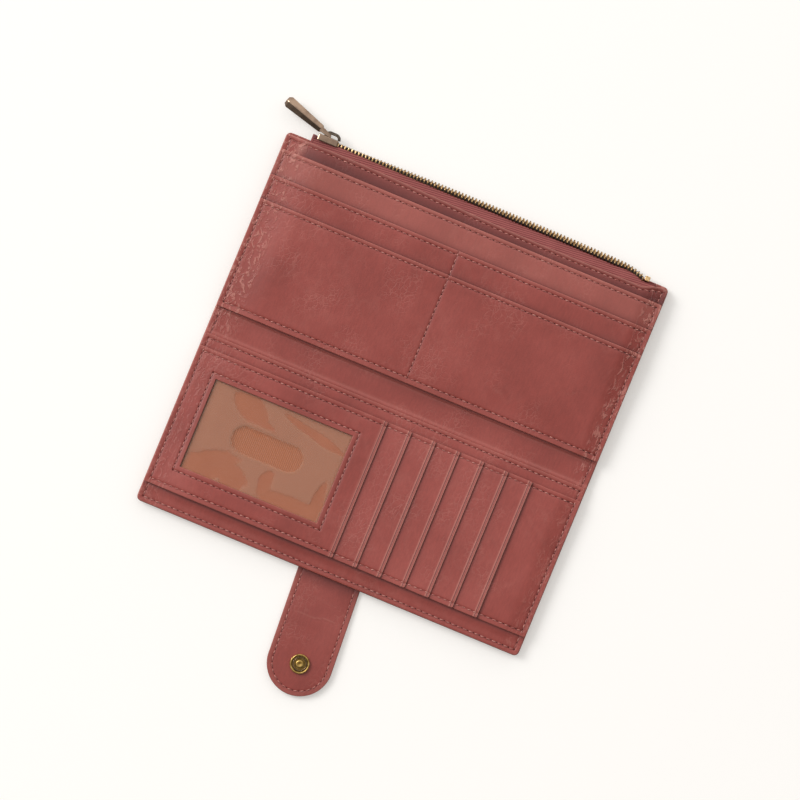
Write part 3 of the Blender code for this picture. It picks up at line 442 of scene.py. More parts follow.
def slowWave(x, y):  # 0 at the zip, the fold and the free edges
    share = ease((83 - y) / 14) * ease((np.abs(y) - 7) / 12) * ease((y + 92) / 12)
    return share * shape["wave"] * (fieldNoise(x, y, 38, 3) - 0.35 + 0.35 * fieldNoise(x, y, 17, 4))


def drape(x, z):  # height after the side seams pull it down
    return shape["base"] + (z - shape["base"]) * np.where(z > shape["base"], pinchShare(x), 1)


panelCommon = {
    "thickness": 0.7,
    "step": 1.0,
    "rim": 0.34,
    "groove": 0.24,
    "grooveWidth": 0.5,
    "grooveTone": 0.30,
    "roll": 0.03,  # height of the turned edge at a mouth
    "rollWidth": 1.7,
    "rollWear": 0.07,
    "slotRoll": 0.07,  # height of the turned edge at an upright slot
    "pressed": 0.12,  # depth of the line pressed beside it
    "pressedTone": 0.9,
    "pressedIn": 1.3,
    "burnishAndHighlight": ((-0.42, 0.85), (1.12, 1.15)),  # bright lines beside the pressed one, burnished and painted brighter as highlights: offset and strength
    "crease": 0.03,
    "creaseWear": 0.07,
}


def panelSurface(settings):
    # mid height, half thickness, relief and colour attributes of a leather panel at any place
    thick = panelCommon["thickness"]

    def at(x, y):
        place = {"x": x, "y": y}
        share = pinchShare(x)
        lift = slowWave(x, y)
        for x0, x1, y0, y1, height, soft in settings.get("pillows", ()):
            swell = ease((x - x0) / soft) * ease((x1 - x) / soft) * ease((y - y0) / soft) * ease((y1 - y) / soft)
            lift = lift + height * swell
        mid = drape(x, settings["under"](x, y) + thick / 2) + lift * share
        relief, seamAndShadeTone, wearAndHighlightTone = np.zeros_like(x), np.zeros_like(x), np.zeros_like(x)
        for axis, middle, low, high in settings["seams"]:
            along = place["y" if axis == "x" else "x"]
            ends = ease((along - low + 0.6) / 0.6) * ease((high + 0.6 - along) / 0.6)
            groove = bell(place[axis] - middle, panelCommon["grooveWidth"]) * ends
            relief = relief - panelCommon["groove"] * groove
            seamAndShadeTone = np.maximum(seamAndShadeTone, panelCommon["grooveTone"] * groove)
        for axis, edge, inward, height in settings.get("rolls", ()):
            across, width = (place[axis] - edge) * inward, panelCommon["rollWidth"]
            relief = relief + height * bell(across - width / 2, width / 2.6)
            rubbed = ease((across + 0.1) / 0.3) * ease((width + 0.3 - across) / 0.5)
            wearAndHighlightTone = np.maximum(wearAndHighlightTone, panelCommon["rollWear"] * rubbed)
        for axis, middle in settings.get("grooves", ()):  # pressed line beside a turned edge
            line = bell(place[axis] - middle, 0.20)
            relief = relief - panelCommon["pressed"] * line
            seamAndShadeTone = np.maximum(seamAndShadeTone, panelCommon["pressedTone"] * line)
            # burnished lines beside it, brightened as painted highlights
            for beside, strength in panelCommon["burnishAndHighlight"]:
                wearAndHighlightTone = np.maximum(wearAndHighlightTone, strength * bell(place[axis] - middle - beside, 0.22))
        wearAndHighlightTone = wearAndHighlightTone + settings.get("tone", 0)
        for spotX, spotY, halfX, halfY, strength in settings.get("spots", ()):  # a swollen spot, painted lighter as a highlight
            spot = bell(np.hypot((x - spotX) / halfX, (y - spotY) / halfY), 1)
            wearAndHighlightTone = wearAndHighlightTone + strength * spot
            relief = relief + 0.10 * spot
        for axis, edge, inward, strength in settings.get("edges", ()):  # pale line of a cut edge
            across = (place[axis] - edge) * inward
            wearAndHighlightTone = np.maximum(wearAndHighlightTone, strength * fade(np.maximum(across, 0), 0.4))
        for axis, edge, outward, width, strength in settings.get("shadows", ()):
            # painted shade beside the edge of the layer above: strength * exp(-distance / width)
            across = (place[axis] - edge) * outward
            shade = strength * fade(np.maximum(across, 0), width) * ease((across + 0.6) / 0.6)
            seamAndShadeTone = np.maximum(seamAndShadeTone, shade * ease((x - settings.get("shadeFrom", -200.0)) / 9))
        ridge = 1 - np.abs(2 * fieldNoise(x * 0.8 + y * 0.6, y * 0.35 - x * 0.3, 3.4, settings["seed"]) - 1)
        mask = ease((fieldNoise(x, y, 16, settings["seed"] + 1) - 0.45) / 0.25)
        relief = relief + panelCommon["crease"] * ridge**5 * mask * share
        wearAndHighlightTone = wearAndHighlightTone + panelCommon["creaseWear"] * ridge**6 * mask
        return mid, thick / 2 * share, relief, wearAndHighlightTone, seamAndShadeTone

    return at


surfaces = {}
droop = {"depth": 2.8, "from": -75.0, "over": 115.0, "rightEnd": 93.0, "low": 84.0, "high": 93.5}


def mouthDroop(x, y):  # the zip panel's slack mouth hangs lower towards the right, and not at the side seams
    sag = droop["depth"] * ease((x - droop["from"]) / droop["over"]) * ease((droop["rightEnd"] - x) / 10)
    return sag * ease((y - droop["low"]) / (droop["high"] - droop["low"]))


def leatherPanel(name, node, body, seed, **settings):
    # a panel over the box of its CAD node, with its own seams, swellings and turned edges
    x0, x1, y0, y1 = boxOf(node)[:4]
    step = settings.get("step", panelCommon["step"])
    seamX = [seam[1] for seam in settings["seams"] if seam[0] == "x"]
    seamX += [middle for _, middle in settings.get("grooves", ())]
    seamY = [seam[1] for seam in settings["seams"] if seam[0] == "y"]
    window = settings.get("window")
    if window:
        seamX += [window[0] - 0.6, window[1] + 0.6]
        seamY += [window[2] - 0.6, window[3] + 0.6]
    linesX, linesY = gridLines(x0, x1, step, seams=seamX), gridLines(y0, y1, step, seams=seamY)
    keep = None
    if window:
        linesX, linesY = insertLines(linesX[0], *window[:2]), insertLines(linesY[0], *window[2:])
    x, y, away = sheetGrid(linesX, linesY)
    if window:
        # distance to the opening: outside it, the larger of the two offsets, or their length at a corner
        dx = np.maximum(np.maximum(window[0] - x, x - window[1]), 0)
        dy = np.maximum(np.maximum(window[2] - y, y - window[3]), 0)
        away = np.minimum(away, np.hypot(dx, dy))
        cx, cy = ((lines[1:] + lines[:-1]) / 2 for lines in (linesX[0], linesY[0]))
        keep = ~((cx[:, None] > window[0]) & (cx[:, None] < window[1]) & (cy > window[2]) & (cy < window[3]))
    corners = ((1, 1), (1, -1), (-1, 1), (-1, -1))
    x, y = roundCorners(x, y, (x0, x1, y0, y1), settings.get("cornerRadius", 0.9), corners)
    at = panelSurface({"seed": seed, **settings})
    mid, half, relief, wear, seam = at(x, y)
    wear = wear + 0.3 * fade(away, 0.3)
    if settings.get("hangs"):
        y = y - mouthDroop(x, y)
    made = closedSheet(name, x, y, away, mid, half, relief, leather, wear, seam, panelCommon["rim"], keep)
    settle(made, "leather", body, node)
    surfaces[name] = lambda px, py: sum(at(px, py)[:3])


upper = {
    "sideStitch": 94.2,
    "centreSeam": -1.1,
    "drop": 2.05,  # from a mouth to its seam
    "bottomSeam": 9.4,
}
sideLow, sideHigh = -upper["sideStitch"], upper["sideStitch"]


def acrossSeams(*places):
    return [("y", place, sideLow, sideHigh) for place in places]


def sideSeams(low, high):
    return [("x", sideLow, low, high), ("x", sideHigh, low, high)]


def upperPanel(name, node, seed, seams=(), low=None, behind=None, shade=(1.4, 0.60), **more):
    y0, y1 = boxOf(node)[2:4]
    envelope = undersideOf(node)
    mouth = y1 - upper["drop"]
    leatherPanel(
        name,
        node,
        "upper_half",
        seed,
        under=lambda x, y: envelope(y),
        seams=acrossSeams(mouth) + sideSeams(low or y0, mouth) + list(seams),
        rolls=[("y", y1, -1, panelCommon["roll"])],
        shadows=[("y", boxOf(behind)[3], 1, *shade)] if behind else [],
        edges=[("y", y1, -1, 0.95 if more.get("hangs") else 0.20)],
        **more,
    )
    return y1, mouth, surfaces[name]


zipTop, zipS, zipAt = upperPanel(
    "zipPanel",
    "zip_front_panel",
    11,
    behind="slip_pocket_panel",
    shade=(7.5, 0.92),
    hangs=True,
    shadeFrom=-91.5,
    # spots: swellings near the left end, with painted highlights
    spots=((-87.6, 89.4, 1.9, 2.4, 0.70), (-90.5, 93.2, 1.0, 1.2, 0.35)),
)
slipTop, slipS, slipAt = upperPanel("slipPanel", "slip_pocket_panel", 21, behind="card_slot_strip", tone=0.17)
centre, bottom = upper["centreSeam"], upper["bottomSeam"]
stripTop, stripS, stripAt = upperPanel(
    "upperCardStrip", "card_slot_strip", 31, seams=[("x", centre, 50, 73)], behind="card_slot_panel"
)
cardHigh = boxOf("card_slot_panel")[3]
cardTop, cardS, cardAt = upperPanel(
    "lowerCardPanel",
    "card_slot_panel",
    41,
    seams=[("x", centre, bottom, cardHigh)] + acrossSeams(bottom),
    low=bottom,
    pillows=[
        (sideLow + 2, centre - 1, 11, cardHigh + 6, 0.20, 12), (centre + 1, sideHigh - 2, 11, cardHigh + 6, 0.22, 12)
    ],
)
print("upper panels:", len(madePieces))

lower = {
    "mouthSeam": -8.9,
    "groupTopSeam": -15.5,
    "groupLowSeam": -79.9,
    "bottomSeam": -89.3,
    "windowSeam": 2.5,  # from the opening to its seam
    "windowMargin": 4.0,  # of the film under the frame
    "edgeShade": (1, 1.0, 0.6),
}
lowerMouth, lowerBottom = lower["mouthSeam"], lower["bottomSeam"]
groupSeamYs = (lower["groupTopSeam"], lower["groupLowSeam"])
billEnvelope = undersideOf("bill_pocket_panel")
baseBox, frameBox, vinylBox = boxOf("slot_base_panel"), boxOf("id_frame"), boxOf("id_window")
leatherPanel(
    "billPanel",
    "bill_pocket_panel",
    "lower_half",
    51,
    under=lambda x, y: billEnvelope(y),
    seams=acrossSeams(lowerMouth, lowerBottom) + sideSeams(lowerBottom, lowerMouth),
    rolls=[("y", boxOf("bill_pocket_panel")[3], -1, panelCommon["roll"])],
    shadows=[("y", baseBox[2], -1, 1.0, 0.75), ("y", baseBox[3], 1, 0.5, 0.55)],
    cornerRadius=1.8,
)
groupSeams = acrossSeams(*groupSeamYs)
leatherPanel(
    "slotEndPanel",
    "slot_base_panel",
    "lower_half",
    61,
    under=lambda x, y: baseBox[4] + 0 * x,
    seams=groupSeams + [("x", sideHigh, *groupSeamYs[::-1])],
    shadows=[("x", boxOf("slot_strip_6")[1], *lower["edgeShade"])],
)
slotEdges = [frameBox[1]]
for number in range(1, 7):
    node = f"slot_strip_{number}"
    envelope = undersideOf(node, 0)
    right = boxOf(node)[1]
    leatherPanel(
        f"uprightStrip{number}",
        node,
        "lower_half",
        70 + number * 3,
        under=lambda x, y, envelope=envelope: envelope(x),
        seams=groupSeams,
        rolls=[("x", right, -1, panelCommon["slotRoll"])],
        grooves=[("x", right - panelCommon["pressedIn"])],
        shadows=[("x", slotEdges[-1], *lower["edgeShade"])],
        step=0.8,
    )
    slotEdges.append(right)
inwards = np.array([1, -1, 1, -1])
opening = (np.array(vinylBox[:4]) + lower["windowMargin"] * inwards).tolist()
left, right, low, high = (opening - lower["windowSeam"] * inwards).tolist()
leatherPanel(
    "windowFrame",
    "id_frame",
    "lower_half",
    95,
    under=lambda x, y: frameBox[4] + 0 * x,
    seams=groupSeams
    + [("x", sideLow, *groupSeamYs[::-1])]
    + [("y", place, left, right) for place in (low, high)]
    + [("x", place, low, high) for place in (left, right)],
    rolls=[("x", frameBox[1], -1, panelCommon["slotRoll"])],
    grooves=[("x", frameBox[1] - panelCommon["pressedIn"])],
    window=opening,
)
windowCorners = [(left, high), (right, high), (right, low), (left, low), (left, high)]
print("lower panels:", len(madePieces))

cover = {
    "thickness": 1.0,
    "rimThickness": 1.6,
    "rimWidth": 3.3,
    "seamIn": 2.8,
    "corner": 2.5,
    "bendNear": 2.4,  # Y where a fold begins and ends
    "bendFar": 8.4,
    "foldMiddle": 5.4,
    "seamWidth": 0.42,
}


def halfGrid(x0, x1, reach, stepX, stepY, bends):
    # from the middle to a reach up or down, with lines close together at the side seams and where it bends
    linesX = gridLines(x0, x1, stepX, seams=(sideLow, sideHigh))
    ends = min(0.0, reach), max(0.0, reach)
    return sheetGrid(linesX, gridLines(*ends, stepY, (reach < 0, reach > 0), seams=np.sign(reach) * bends))


def coverHalf(name, node, sign, body):
    x0, x1, y0, y1 = boxOf(node)[:4]
    reach = y1 if sign > 0 else y0
    x, y, away = halfGrid(x0, x1, reach, 1.6, 1.6, np.arange(1.5, 9.6, 0.5))
    edge = np.minimum(np.minimum(x - x0, x1 - x), np.abs(reach - y))
    x, y = roundCorners(x, y, (x0, x1, reach, reach), cover["corner"], ((1, sign), (-1, sign)))
    thick = cover["thickness"] + (cover["rimThickness"] - cover["thickness"]) * ease((cover["rimWidth"] - edge) / 0.9)
    seamLine = bell(edge - cover["seamIn"], cover["seamWidth"])
    under = 0.10 * fieldNoise(x, y, 30, 8) * ease((np.abs(y) - 9) / 10) + 0.10 * seamLine
    # the last term is a painted highlight along the left cut edge, where the light catches it
    wear = 0.3 * fade(away, 0.4) + 0.15 * bell(np.abs(y) - cover["foldMiddle"], 1.6) + 0.45 * fade(x - x0, 0.45)
    mid, half = (under + thick) / 2, (thick - under) / 2
    made = closedSheet(name, x, y, away, mid, half, 0 * x, leather, wear, 0.3 * seamLine, 0.5)
    settleBent(made, "spine", body, sign * cover["bendNear"], sign * cover["bendFar"], node, "cover_spine")


spineBase = 1.6
spineReach = 8.3


def spineSquash(x):
    return 0.4 + 0.6 * pinchShare(x)


def spineHalf(name, sign, body):
    x0, x1, _, _, z0, z1 = boxOf("spine_lining")
    x, y, away = halfGrid(x0, x1, sign * spineReach, 1.0, 0.6, np.arange(1.0, 8.0, 0.5))
    out = ease((np.abs(y) - 5.0) / 1.2)
    top = z1 + 0.35 * out + 0.06 * (fieldNoise(x, y * 2, 9, 15) - 0.5)
    top = spineBase + (top - spineBase) * spineSquash(x)
    under = np.minimum(z0 + (2.15 - z0) * out, top - 0.3)
    seamLine = bell(np.abs(x) - sideHigh, cover["seamWidth"])
    wear = 0.15 * bell(np.abs(y) - cover["foldMiddle"], 0.9) + 0.2 * fade(away, 0.5)
    mid, half = (top + under) / 2, (top - under) / 2
    made = closedSheet(name, x, y, away, mid, half, -0.14 * seamLine, leather, wear, 0.4 * seamLine, 0.3)
    settleBent(made, "spine", body, sign * cover["bendNear"], sign * cover["bendFar"], "spine_lining")


coverHalf("coverUpper", "cover_upper", 1, "upper_half")
coverHalf("coverLower", "cover_lower", -1, "lower_half")
spineHalf("spineLeatherUpper", 1, "upper_half")
spineHalf("spineLeatherLower", -1, "lower_half")
surfaces["spine"] = lambda x, y: spineBase + 0.5 * spineSquash(x) - 0.14 + 0 * y
print("cover and spine made")

sideCuts = (-96, -95, -94, -92.5, -91, -89.5, -88, -86.5, -85, 88, 89.5, 91, 92.5, 94, 95.5)


def drawnDown(name, node, material, body, every=None, ripple=0.0):
    # a copy of the solid, cut into strips and drawn down at the sides
    mesh = nodes[node].data.copy()
    mesh.name = name
    x0, x1, y0, y1 = boxOf(node)[:4]
    cuts = [((1, 0, 0), value) for value in sideCuts]
    cuts += [((1, 0, 0), value) for value in np.arange(x0 + 1, x1 - 1, every)] if every else []
    cuts += [((0, 1, 0), value) for value in np.arange(y0 + 1, y1 - 1, every)] if every else []

    def cutUp(bm):
        mergeClose(bm)
        for normal, value in cuts:
            spot = [value * mm * share for share in normal]
            everything = bm.verts[:] + bm.edges[:] + bm.faces[:]
            bmesh.ops.bisect_plane(bm, geom=everything, plane_co=spot, plane_no=normal, dist=1e-7)

    reworked(mesh, cutUp)
    x, y, z = pointsOf(mesh).T
    z = drape(x, z) + slowWave(x, y) * pinchShare(x) + ripple * (fieldNoise(x, y, 9, 77) - 0.5)
    if node == "zip_pocket_front_lining":
        y = y - mouthDroop(x, y)
    movePoints(mesh, x, y, z)
    dress(mesh, material)
    settle(addObject(name, mesh), "lining", body, node)


drawnDown("zipPocketBack", "zip_pocket_back_lining", liningCloth, "upper_half")
drawnDown("zipPocketFront", "zip_pocket_front_lining", liningCloth, "upper_half", every=6.0)
drawnDown("cardSlotLining", "card_slot_lining", liningCloth, "upper_half")
drawnDown("billPocketLining", "bill_pocket_lining", liningCloth, "lower_half")
drawnDown("slotLining", "slot_lining", liningCloth, "lower_half")
drawnDown("windowBacking", "id_backing", backingCloth, "lower_half", every=3.0, ripple=0.12)
print("linings made")

windowFilm = {
    "step": 0.6,
    "half": 0.12,  # half thickness
    "wave": 0.12,
    "waveSize": 13.0,
    "slot": (-48.7, -46.75, 17.5, 6.3),  # centre and half sizes of the thumb slot that shows through
    # places where the film clings: centre and half sizes as shares of the opening, then a lean
    "clings": (
        (0.30, 0.86, 0.15, 0.13, -0.5),
        (0.42, 0.70, 0.12, 0.10, 0.0),
        (0.74, 0.86, 0.26, 0.055, -0.35),
        (0.18, 0.14, 0.20, 0.20, 0.6),
        (0.36, 0.06, 0.10, 0.22, 0.0),
        (0.575, 0.20, 0.05, 0.17, 0.0),
        (0.76, 0.03, 0.20, 0.13, 0.0),
        (0.95, 0.20, 0.04, 0.30, 0.0),
    ),
}
x0, x1, y0, y1, z0, z1 = vinylBox
x, y, away = sheetGrid(gridLines(x0, x1, windowFilm["step"]), gridLines(y0, y1, windowFilm["step"]))
swell = fieldNoise(x + 0.4 * y, y * 1.3, windowFilm["waveSize"], 33) - 0.5 + 0.4 * (fieldNoise(x, y, 6, 34) - 0.5)
mid = drape(x, (z0 + z1) / 2 + 0 * x) + slowWave(x, y) * pinchShare(x) + windowFilm["wave"] * swell
# cling patches: wobbly ellipses, their edges eased over a short way; a hazy ring stands round the slot
shareX, shareY = (x - opening[0]) / (opening[1] - opening[0]), (y - opening[2]) / (opening[3] - opening[2])
wobble = 0.45 * (fieldNoise(x + 0.8 * y, y, 6, 35) - 0.5) + 0.35 * (fieldNoise(x, y, 13, 36) - 0.5)
cling = np.zeros_like(x)
for cx, cy, rx, ry, lean in windowFilm["clings"]:
    reach = np.hypot((shareX - cx) / rx, (shareY - cy - lean * (shareX - cx)) / ry)
    cling = np.maximum(cling, ease((1.12 - reach + wobble) / 0.30))
slotX, slotY, slotHalfX, slotHalfY = windowFilm["slot"]
slotGap = np.hypot(np.clip(np.abs(x - slotX) - (slotHalfX - slotHalfY), 0, None), y - slotY) - slotHalfY
ring = ease((3.2 - slotGap) / 1.4) * ease((slotGap + 0.2) / 0.5)
cling = np.where(slotGap < 0.1, np.maximum(cling, 0.75), cling * (1 - 0.9 * ring))
# shade of the frame's edge on the film, strongest along its left and upper sides
edgeShade = 0 * x
for gap, width, strength in (
    (x - opening[0], 1.1, 1.0), (opening[3] - y, 0.45, 0.9), (opening[1] - x, 0.5, 0.35), (y - opening[2], 0.5, 0.30)
):
    edgeShade = np.maximum(edgeShade, strength * fade(gap, width))
edgeShade = 0.8 * np.clip(edgeShade, 0, 1)
mid, half = mid - 0.10 * cling, windowFilm["half"] + 0 * x
film = closedSheet("windowFilm", x, y, away, mid, half, 0 * x, vinyl, cling, edgeShade, windowFilm["half"])
settle(film, "vinyl", "lower_half", "id_window")

# zip: tapes, two rows of teeth, and between them a black cord that paints the shade in the gaps
zipShape = {
    "pitch": 1.73,
    "toothHalf": 0.40,
    "legHalf": 1.0,
    "bow": 1.1,
    "hook": 2.2,
    "hookLength": 12.0,
    "tapeDown": 1.3,  # from the chain's middle to where a tape would end
    "tapeReach": 0.62,  # how far a tape runs on between the teeth's legs
    "tapeFold": 1.3,  # width of the folded end
    "ribs": 1.15,
    "roll": 46.0,  # degrees the chain has rolled over at its right
    "lean": 0.42,  # how far a tooth leans along the chain for each mm of its leg
    "chainTop": 98.6,
}
chainBox = boxOf("zip_chain")
chainLeft, chainRight = chainBox[:2]
chainMiddle, chainZ = (chainLeft + chainRight) / 2, (chainBox[4] + chainBox[5]) / 2
sliderRight = boxOf("slider_body")[1]


def chainRise(x):  # shallow bow, with a tuck at the right
    hook = np.clip(x - (chainRight - zipShape["hookLength"]), 0, None) / zipShape["hookLength"]
    return -zipShape["bow"] * ((x - chainMiddle) / ((chainRight - chainLeft) / 2)) ** 2 - zipShape["hook"] * hook**2


def chainRoll(x):  # radians: none in the slider, rising towards the right, less again at the stop
    away = np.sin(np.pi / 2 * np.clip((x - sliderRight - 1) / 105, 0, 1))
    return radians(zipShape["roll"]) * away * (1 - 0.45 * ease((x - chainRight + 16) / 12))


def rolled(x, dy, dz):
    # (dy, dz) from the chain's middle turns by the roll and draws in, so that the chain's far edge stays
    turn = chainRoll(x)
    inward = 1.74 * np.sin(turn) + np.cos(turn) - 1
    return dy * np.cos(turn) - dz * np.sin(turn) - inward, dz * np.cos(turn) + dy * np.sin(turn)


def zipTape(name, node, front):
    x0, x1, y0, _, z0, z1 = boxOf(node)
    foldAt, bendFrom = 93.8, 91.5  # Y where the folded end shows, and where the tape starts to bend to the chain
    shares, awayY = gridLines(0.0, 1.0, 0.09, (False, False))
    x, share, away = sheetGrid(gridLines(x0, x1, 1.0, seams=(x0 + zipShape["tapeFold"],)), (shares, awayY * 9))
    onChain = np.clip(x, chainLeft, chainRight)
    endY, endZ = zipShape["tapeReach"] - zipShape["tapeDown"], (z0 + z1) / 2 - chainZ
    top = zipShape["chainTop"] + chainRise(onChain) + endY
    if front:  # the folded end stands a little higher
        top = top + 1.3 * ease((x0 + 2.6 - x) / 0.5)
    y = y0 + (top - y0) * share
    inFold = x - x0 - zipShape["tapeFold"]
    fold = ease(-inFold / 0.35) * ease((y - foldAt) / 0.6)
    rows, ripple = 0 * x, 0 * x
    if front:
        rows = np.sin((top - y) * 2 * np.pi / zipShape["ribs"] + 0.8 * fieldNoise(x, y, 7, 5))
        ripple = 0.14 * (fieldNoise(x, 0 * y, 11, 6) - 0.5)
    relief = 0.22 * fold + 0.05 * rows * (1 - fold)
    seam = 0.8 * bell(inFold, 0.3) * ease((y - foldAt) / 0.6) + 0.10 * (1 - rows) * (1 - fold)
    seam = np.maximum(seam, 0.55 * ease((y - top + 0.9) / 0.9)) if front else seam
    # the tape's upper end follows the rolled chain, and bends to it over the last few mm
    movedY, movedZ = rolled(onChain, endY, endZ)
    follow = ease((y - bendFrom) / (top - bendFrom))
    mid = (z0 + z1) / 2 + ripple + (movedZ - endZ) * follow
    y, half = y + (movedY - endY) * follow, (z1 - z0) / 2 + 0 * x
    tape = closedSheet(name, x, y, away, mid, half, relief, tapeCloth, 0 * x, seam, 0.2)
    settle(tape, "tape", "upper_half", node)


zipTape("zipTapeFront", "zip_tape_front", True)
zipTape("zipTapeBack", "zip_tape_back", False)

# one tooth: eight-sided rings from its leg on the tape down to its head, as height and shares of both half sizes
toothLevels = (
    (1.90, 0.74, 0.80), (1.74, 1.0, 1.0), (0.9, 1.0, 1.0), (0.3, 0.86, 0.84), (-0.25, 1.1, 0.78), (-0.5, 0.8, 0.6)
)
toothRing = [[1, 0.6], [0.5, 1], [-0.5, 1], [-1, 0.6], [-1, -0.6], [-0.5, -1], [0.5, -1], [1, -0.6]]
# dark shares of each ring of a tooth, leg to head, for the front and the back row: painted shade
toothDark = {1: [0.0, 0.0, 0.05, 0.35, 0.7, 0.9], -1: [0.85, 0.6, 0.05, 0.0, 0.3, 0.8]}


def zipTeeth():
    ring = np.array(toothRing) * [zipShape["toothHalf"], zipShape["legHalf"]]
    tooth = np.concatenate([np.column_stack((ring * [wide, deep], np.full(8, z))) for z, wide, deep in toothLevels])
    sides = ringFaces(6, 8)[:, [0, 3, 2, 1]]
    k = np.arange(8)
    points, faces, paintedShade = [], [], []
    count = 0
    for row, flip in ((0, 1), (1, -1)):  # the back row is the same, upside down
        centres = np.arange(chainLeft + 0.4 + row * zipShape["pitch"] / 2, chainRight - 0.3, zipShape["pitch"])
        x, dy, dz = np.broadcast_arrays(centres[:, None] + tooth[:, 0], tooth[:, 1], tooth[:, 2] * flip)
        spot = centres[:, None]
        turned = np.sin(chainRoll(spot)) / np.sin(radians(zipShape["roll"]))  # 1 where the chain has rolled most
        lean = zipShape["lean"] * turned * ease((chainRight - 2 - spot) / 6)
        movedY, movedZ = rolled(spot, dy, dz)
        place = np.stack((x + lean * dz, zipShape["chainTop"] + chainRise(spot) + movedY, chainZ + movedZ), -1)
        points.append(place.reshape(-1, 3))
        shadeShares = np.tile(np.repeat(toothDark[flip], 8), (len(centres), 1))
        if flip > 0:  # painted shade: the end of the leg darkens where the chain has rolled over
            shadeShares[:, :8] = 0.9 * turned
        paintedShade.append(shadeShares.ravel())
        for start in (count + np.arange(len(centres))) * 48:
            quads = sides + start
            caps = [(k + start).tolist(), (k[::-1] + start + 40).tolist()]
            faces += (quads if flip > 0 else quads[:, ::-1]).tolist()
            faces += caps if flip > 0 else [cap[::-1] for cap in caps]
        count += len(centres)
    tones = {"wear": np.concatenate(paintedShade)}
    teeth = meshObject("zipTeeth", np.concatenate(points), faces, toothBrass, tones, sharp=50)
    settle(teeth, "brass", "upper_half", "zip_chain")


def zipShadeCord():
    x, across, away = sheetGrid(gridLines(chainLeft + 0.1, chainRight - 0.1, 1.7), gridLines(-0.62, 0.62, 0.4))
    mid, half, none = 0.52 + 0 * x, 1.32 + 0 * x, 0 * x
    cord = closedSheet("zipShadeCord", x, across, away, mid, half, none, toothGap, none, none, 0.3)
    x, dy, dz = pointsOf(cord.data).T
    movedY, movedZ = rolled(x, dy, dz)
    movePoints(cord.data, x, zipShape["chainTop"] + chainRise(x) + movedY, chainZ + movedZ)
    settle(cord, "brass", "upper_half", "zip_chain")


zipTeeth()
zipShadeCord()
print("zip made")

socketBox = boxOf("snap_socket")
snapX, snapY = (socketBox[0] + socketBox[1]) / 2, (socketBox[2] + socketBox[3]) / 2
seat, rimZ = socketBox[4] - socketBox[5], socketBox[5]


def turned(name, material, *profile, segments=96):
    # a solid of revolution from (radius, height above the rim) points that start and end on the axis, lowest first
    radius, height = np.array(profile, float).T
    angle, k = np.arange(segments) * 2 * np.pi / segments, np.arange(segments)
    inner, level = radius[1:-1, None], height[1:-1, None] + 0 * angle
    rings = np.stack((snapX + inner * np.cos(angle), snapY + inner * np.sin(angle), rimZ + level), -1).reshape(-1, 3)
    ends = [[snapX, snapY, rimZ + height[0]], [snapX, snapY, rimZ + height[-1]]]
    following, last = (k + 1) % segments, len(rings) - segments
    faces = ringFaces(len(inner), segments).tolist()
    faces += np.stack((following, k, 0 * k + len(rings)), -1).tolist()
    faces += np.stack((last + k, last + following, 0 * k + len(rings) + 1), -1).tolist()
    return meshObject(name, np.concatenate((rings, ends)), faces, material, sharp=45)


rim = [(0, seat), (4.5, seat), (4.68, seat + 0.16), (4.7, -0.34), (4.62, -0.12), (4.42, 0), (4.12, 0.01)]
rim += [(3.9, -0.1), (3.78, -0.34), (3.7, -0.85), (0, -0.9)]
well = [(0, -0.92), (3.74, -0.92), (3.74, -0.3), (3.45, -0.28), (3.34, -0.42), (3.3, -0.8), (0, -0.8)]
post = [(0, -0.85), (1.35, -0.85), (1.35, -0.62), (1.72, -0.5), (1.76, -0.38)]
post += [(1.6, -0.26), (1.2, -0.2), (0.7, -0.22), (0.45, -0.32), (0, -0.36)]
around, turnRound = np.arange(8)[None, :] * np.pi / 4, np.arange(48)[:, None] * np.pi / 24
springAt = 3.12 + 0.12 * np.cos(around)  # the ring spring lies against the well's wall
springX, springY = snapX + springAt * np.cos(turnRound), snapY + springAt * np.sin(turnRound)
springPoints = np.stack((springX, springY, rimZ - 0.6 + 0.12 * np.sin(around) + 0 * turnRound), -1).reshape(-1, 3)
springFaces = ringFaces(49, 8)[:, [0, 3, 2, 1]] % len(springPoints)
snapPieces = [
    turned("snapRim", brass, *rim),
    turned("snapWell", darkBrass, *well),
    turned("snapPost", brass, *post),
    meshObject("snapSpring", springPoints, springFaces, nickel),
]


def loft(name, rings, sharp=40):
    # a closed solid through rings of equal size, wound so that its faces look outward
    rings = np.asarray(rings, float)
    count, size = rings.shape[:2]
    k = np.arange(size)
    faces = ringFaces(count, size).tolist() + [k[::-1].tolist(), (k + (count - 1) * size).tolist()]
    made = meshObject(name, rings.reshape(-1, 3), faces, nickel, sharp=sharp)
    reworked(made.data, lambda bm: bmesh.ops.recalc_face_normals(bm, faces=bm.faces))
    return made


pull = {
    "pin": (-77.8, 100.25, 3.5),
    "rest": 17.5,
    "barStart": 4.75,
    "end": 26.2,
    "root": 1.9,
    "wide": 2.8,
    "cheek": (1.02, 1.5),  # inner and outer half width of the fork
    "pinHalf": 1.1,
    "webHalf": 1.4,
}


def pullPoint(s, aside, z):  # s mm along the pull from its pin, aside to its upper side
    turn = radians(pull["rest"])
    along, across = np.array([-np.cos(turn), np.sin(turn)]), np.array([np.sin(turn), np.cos(turn)])
    flat = np.array(pull["pin"][:2]) + s * along + aside * across
    return [flat[0], flat[1], pull["pin"][2] + z]


def pullSlab(name, outline, *levels):
    return loft(name, [[pullPoint(s, aside, z) for s, aside in outline] for z in levels])


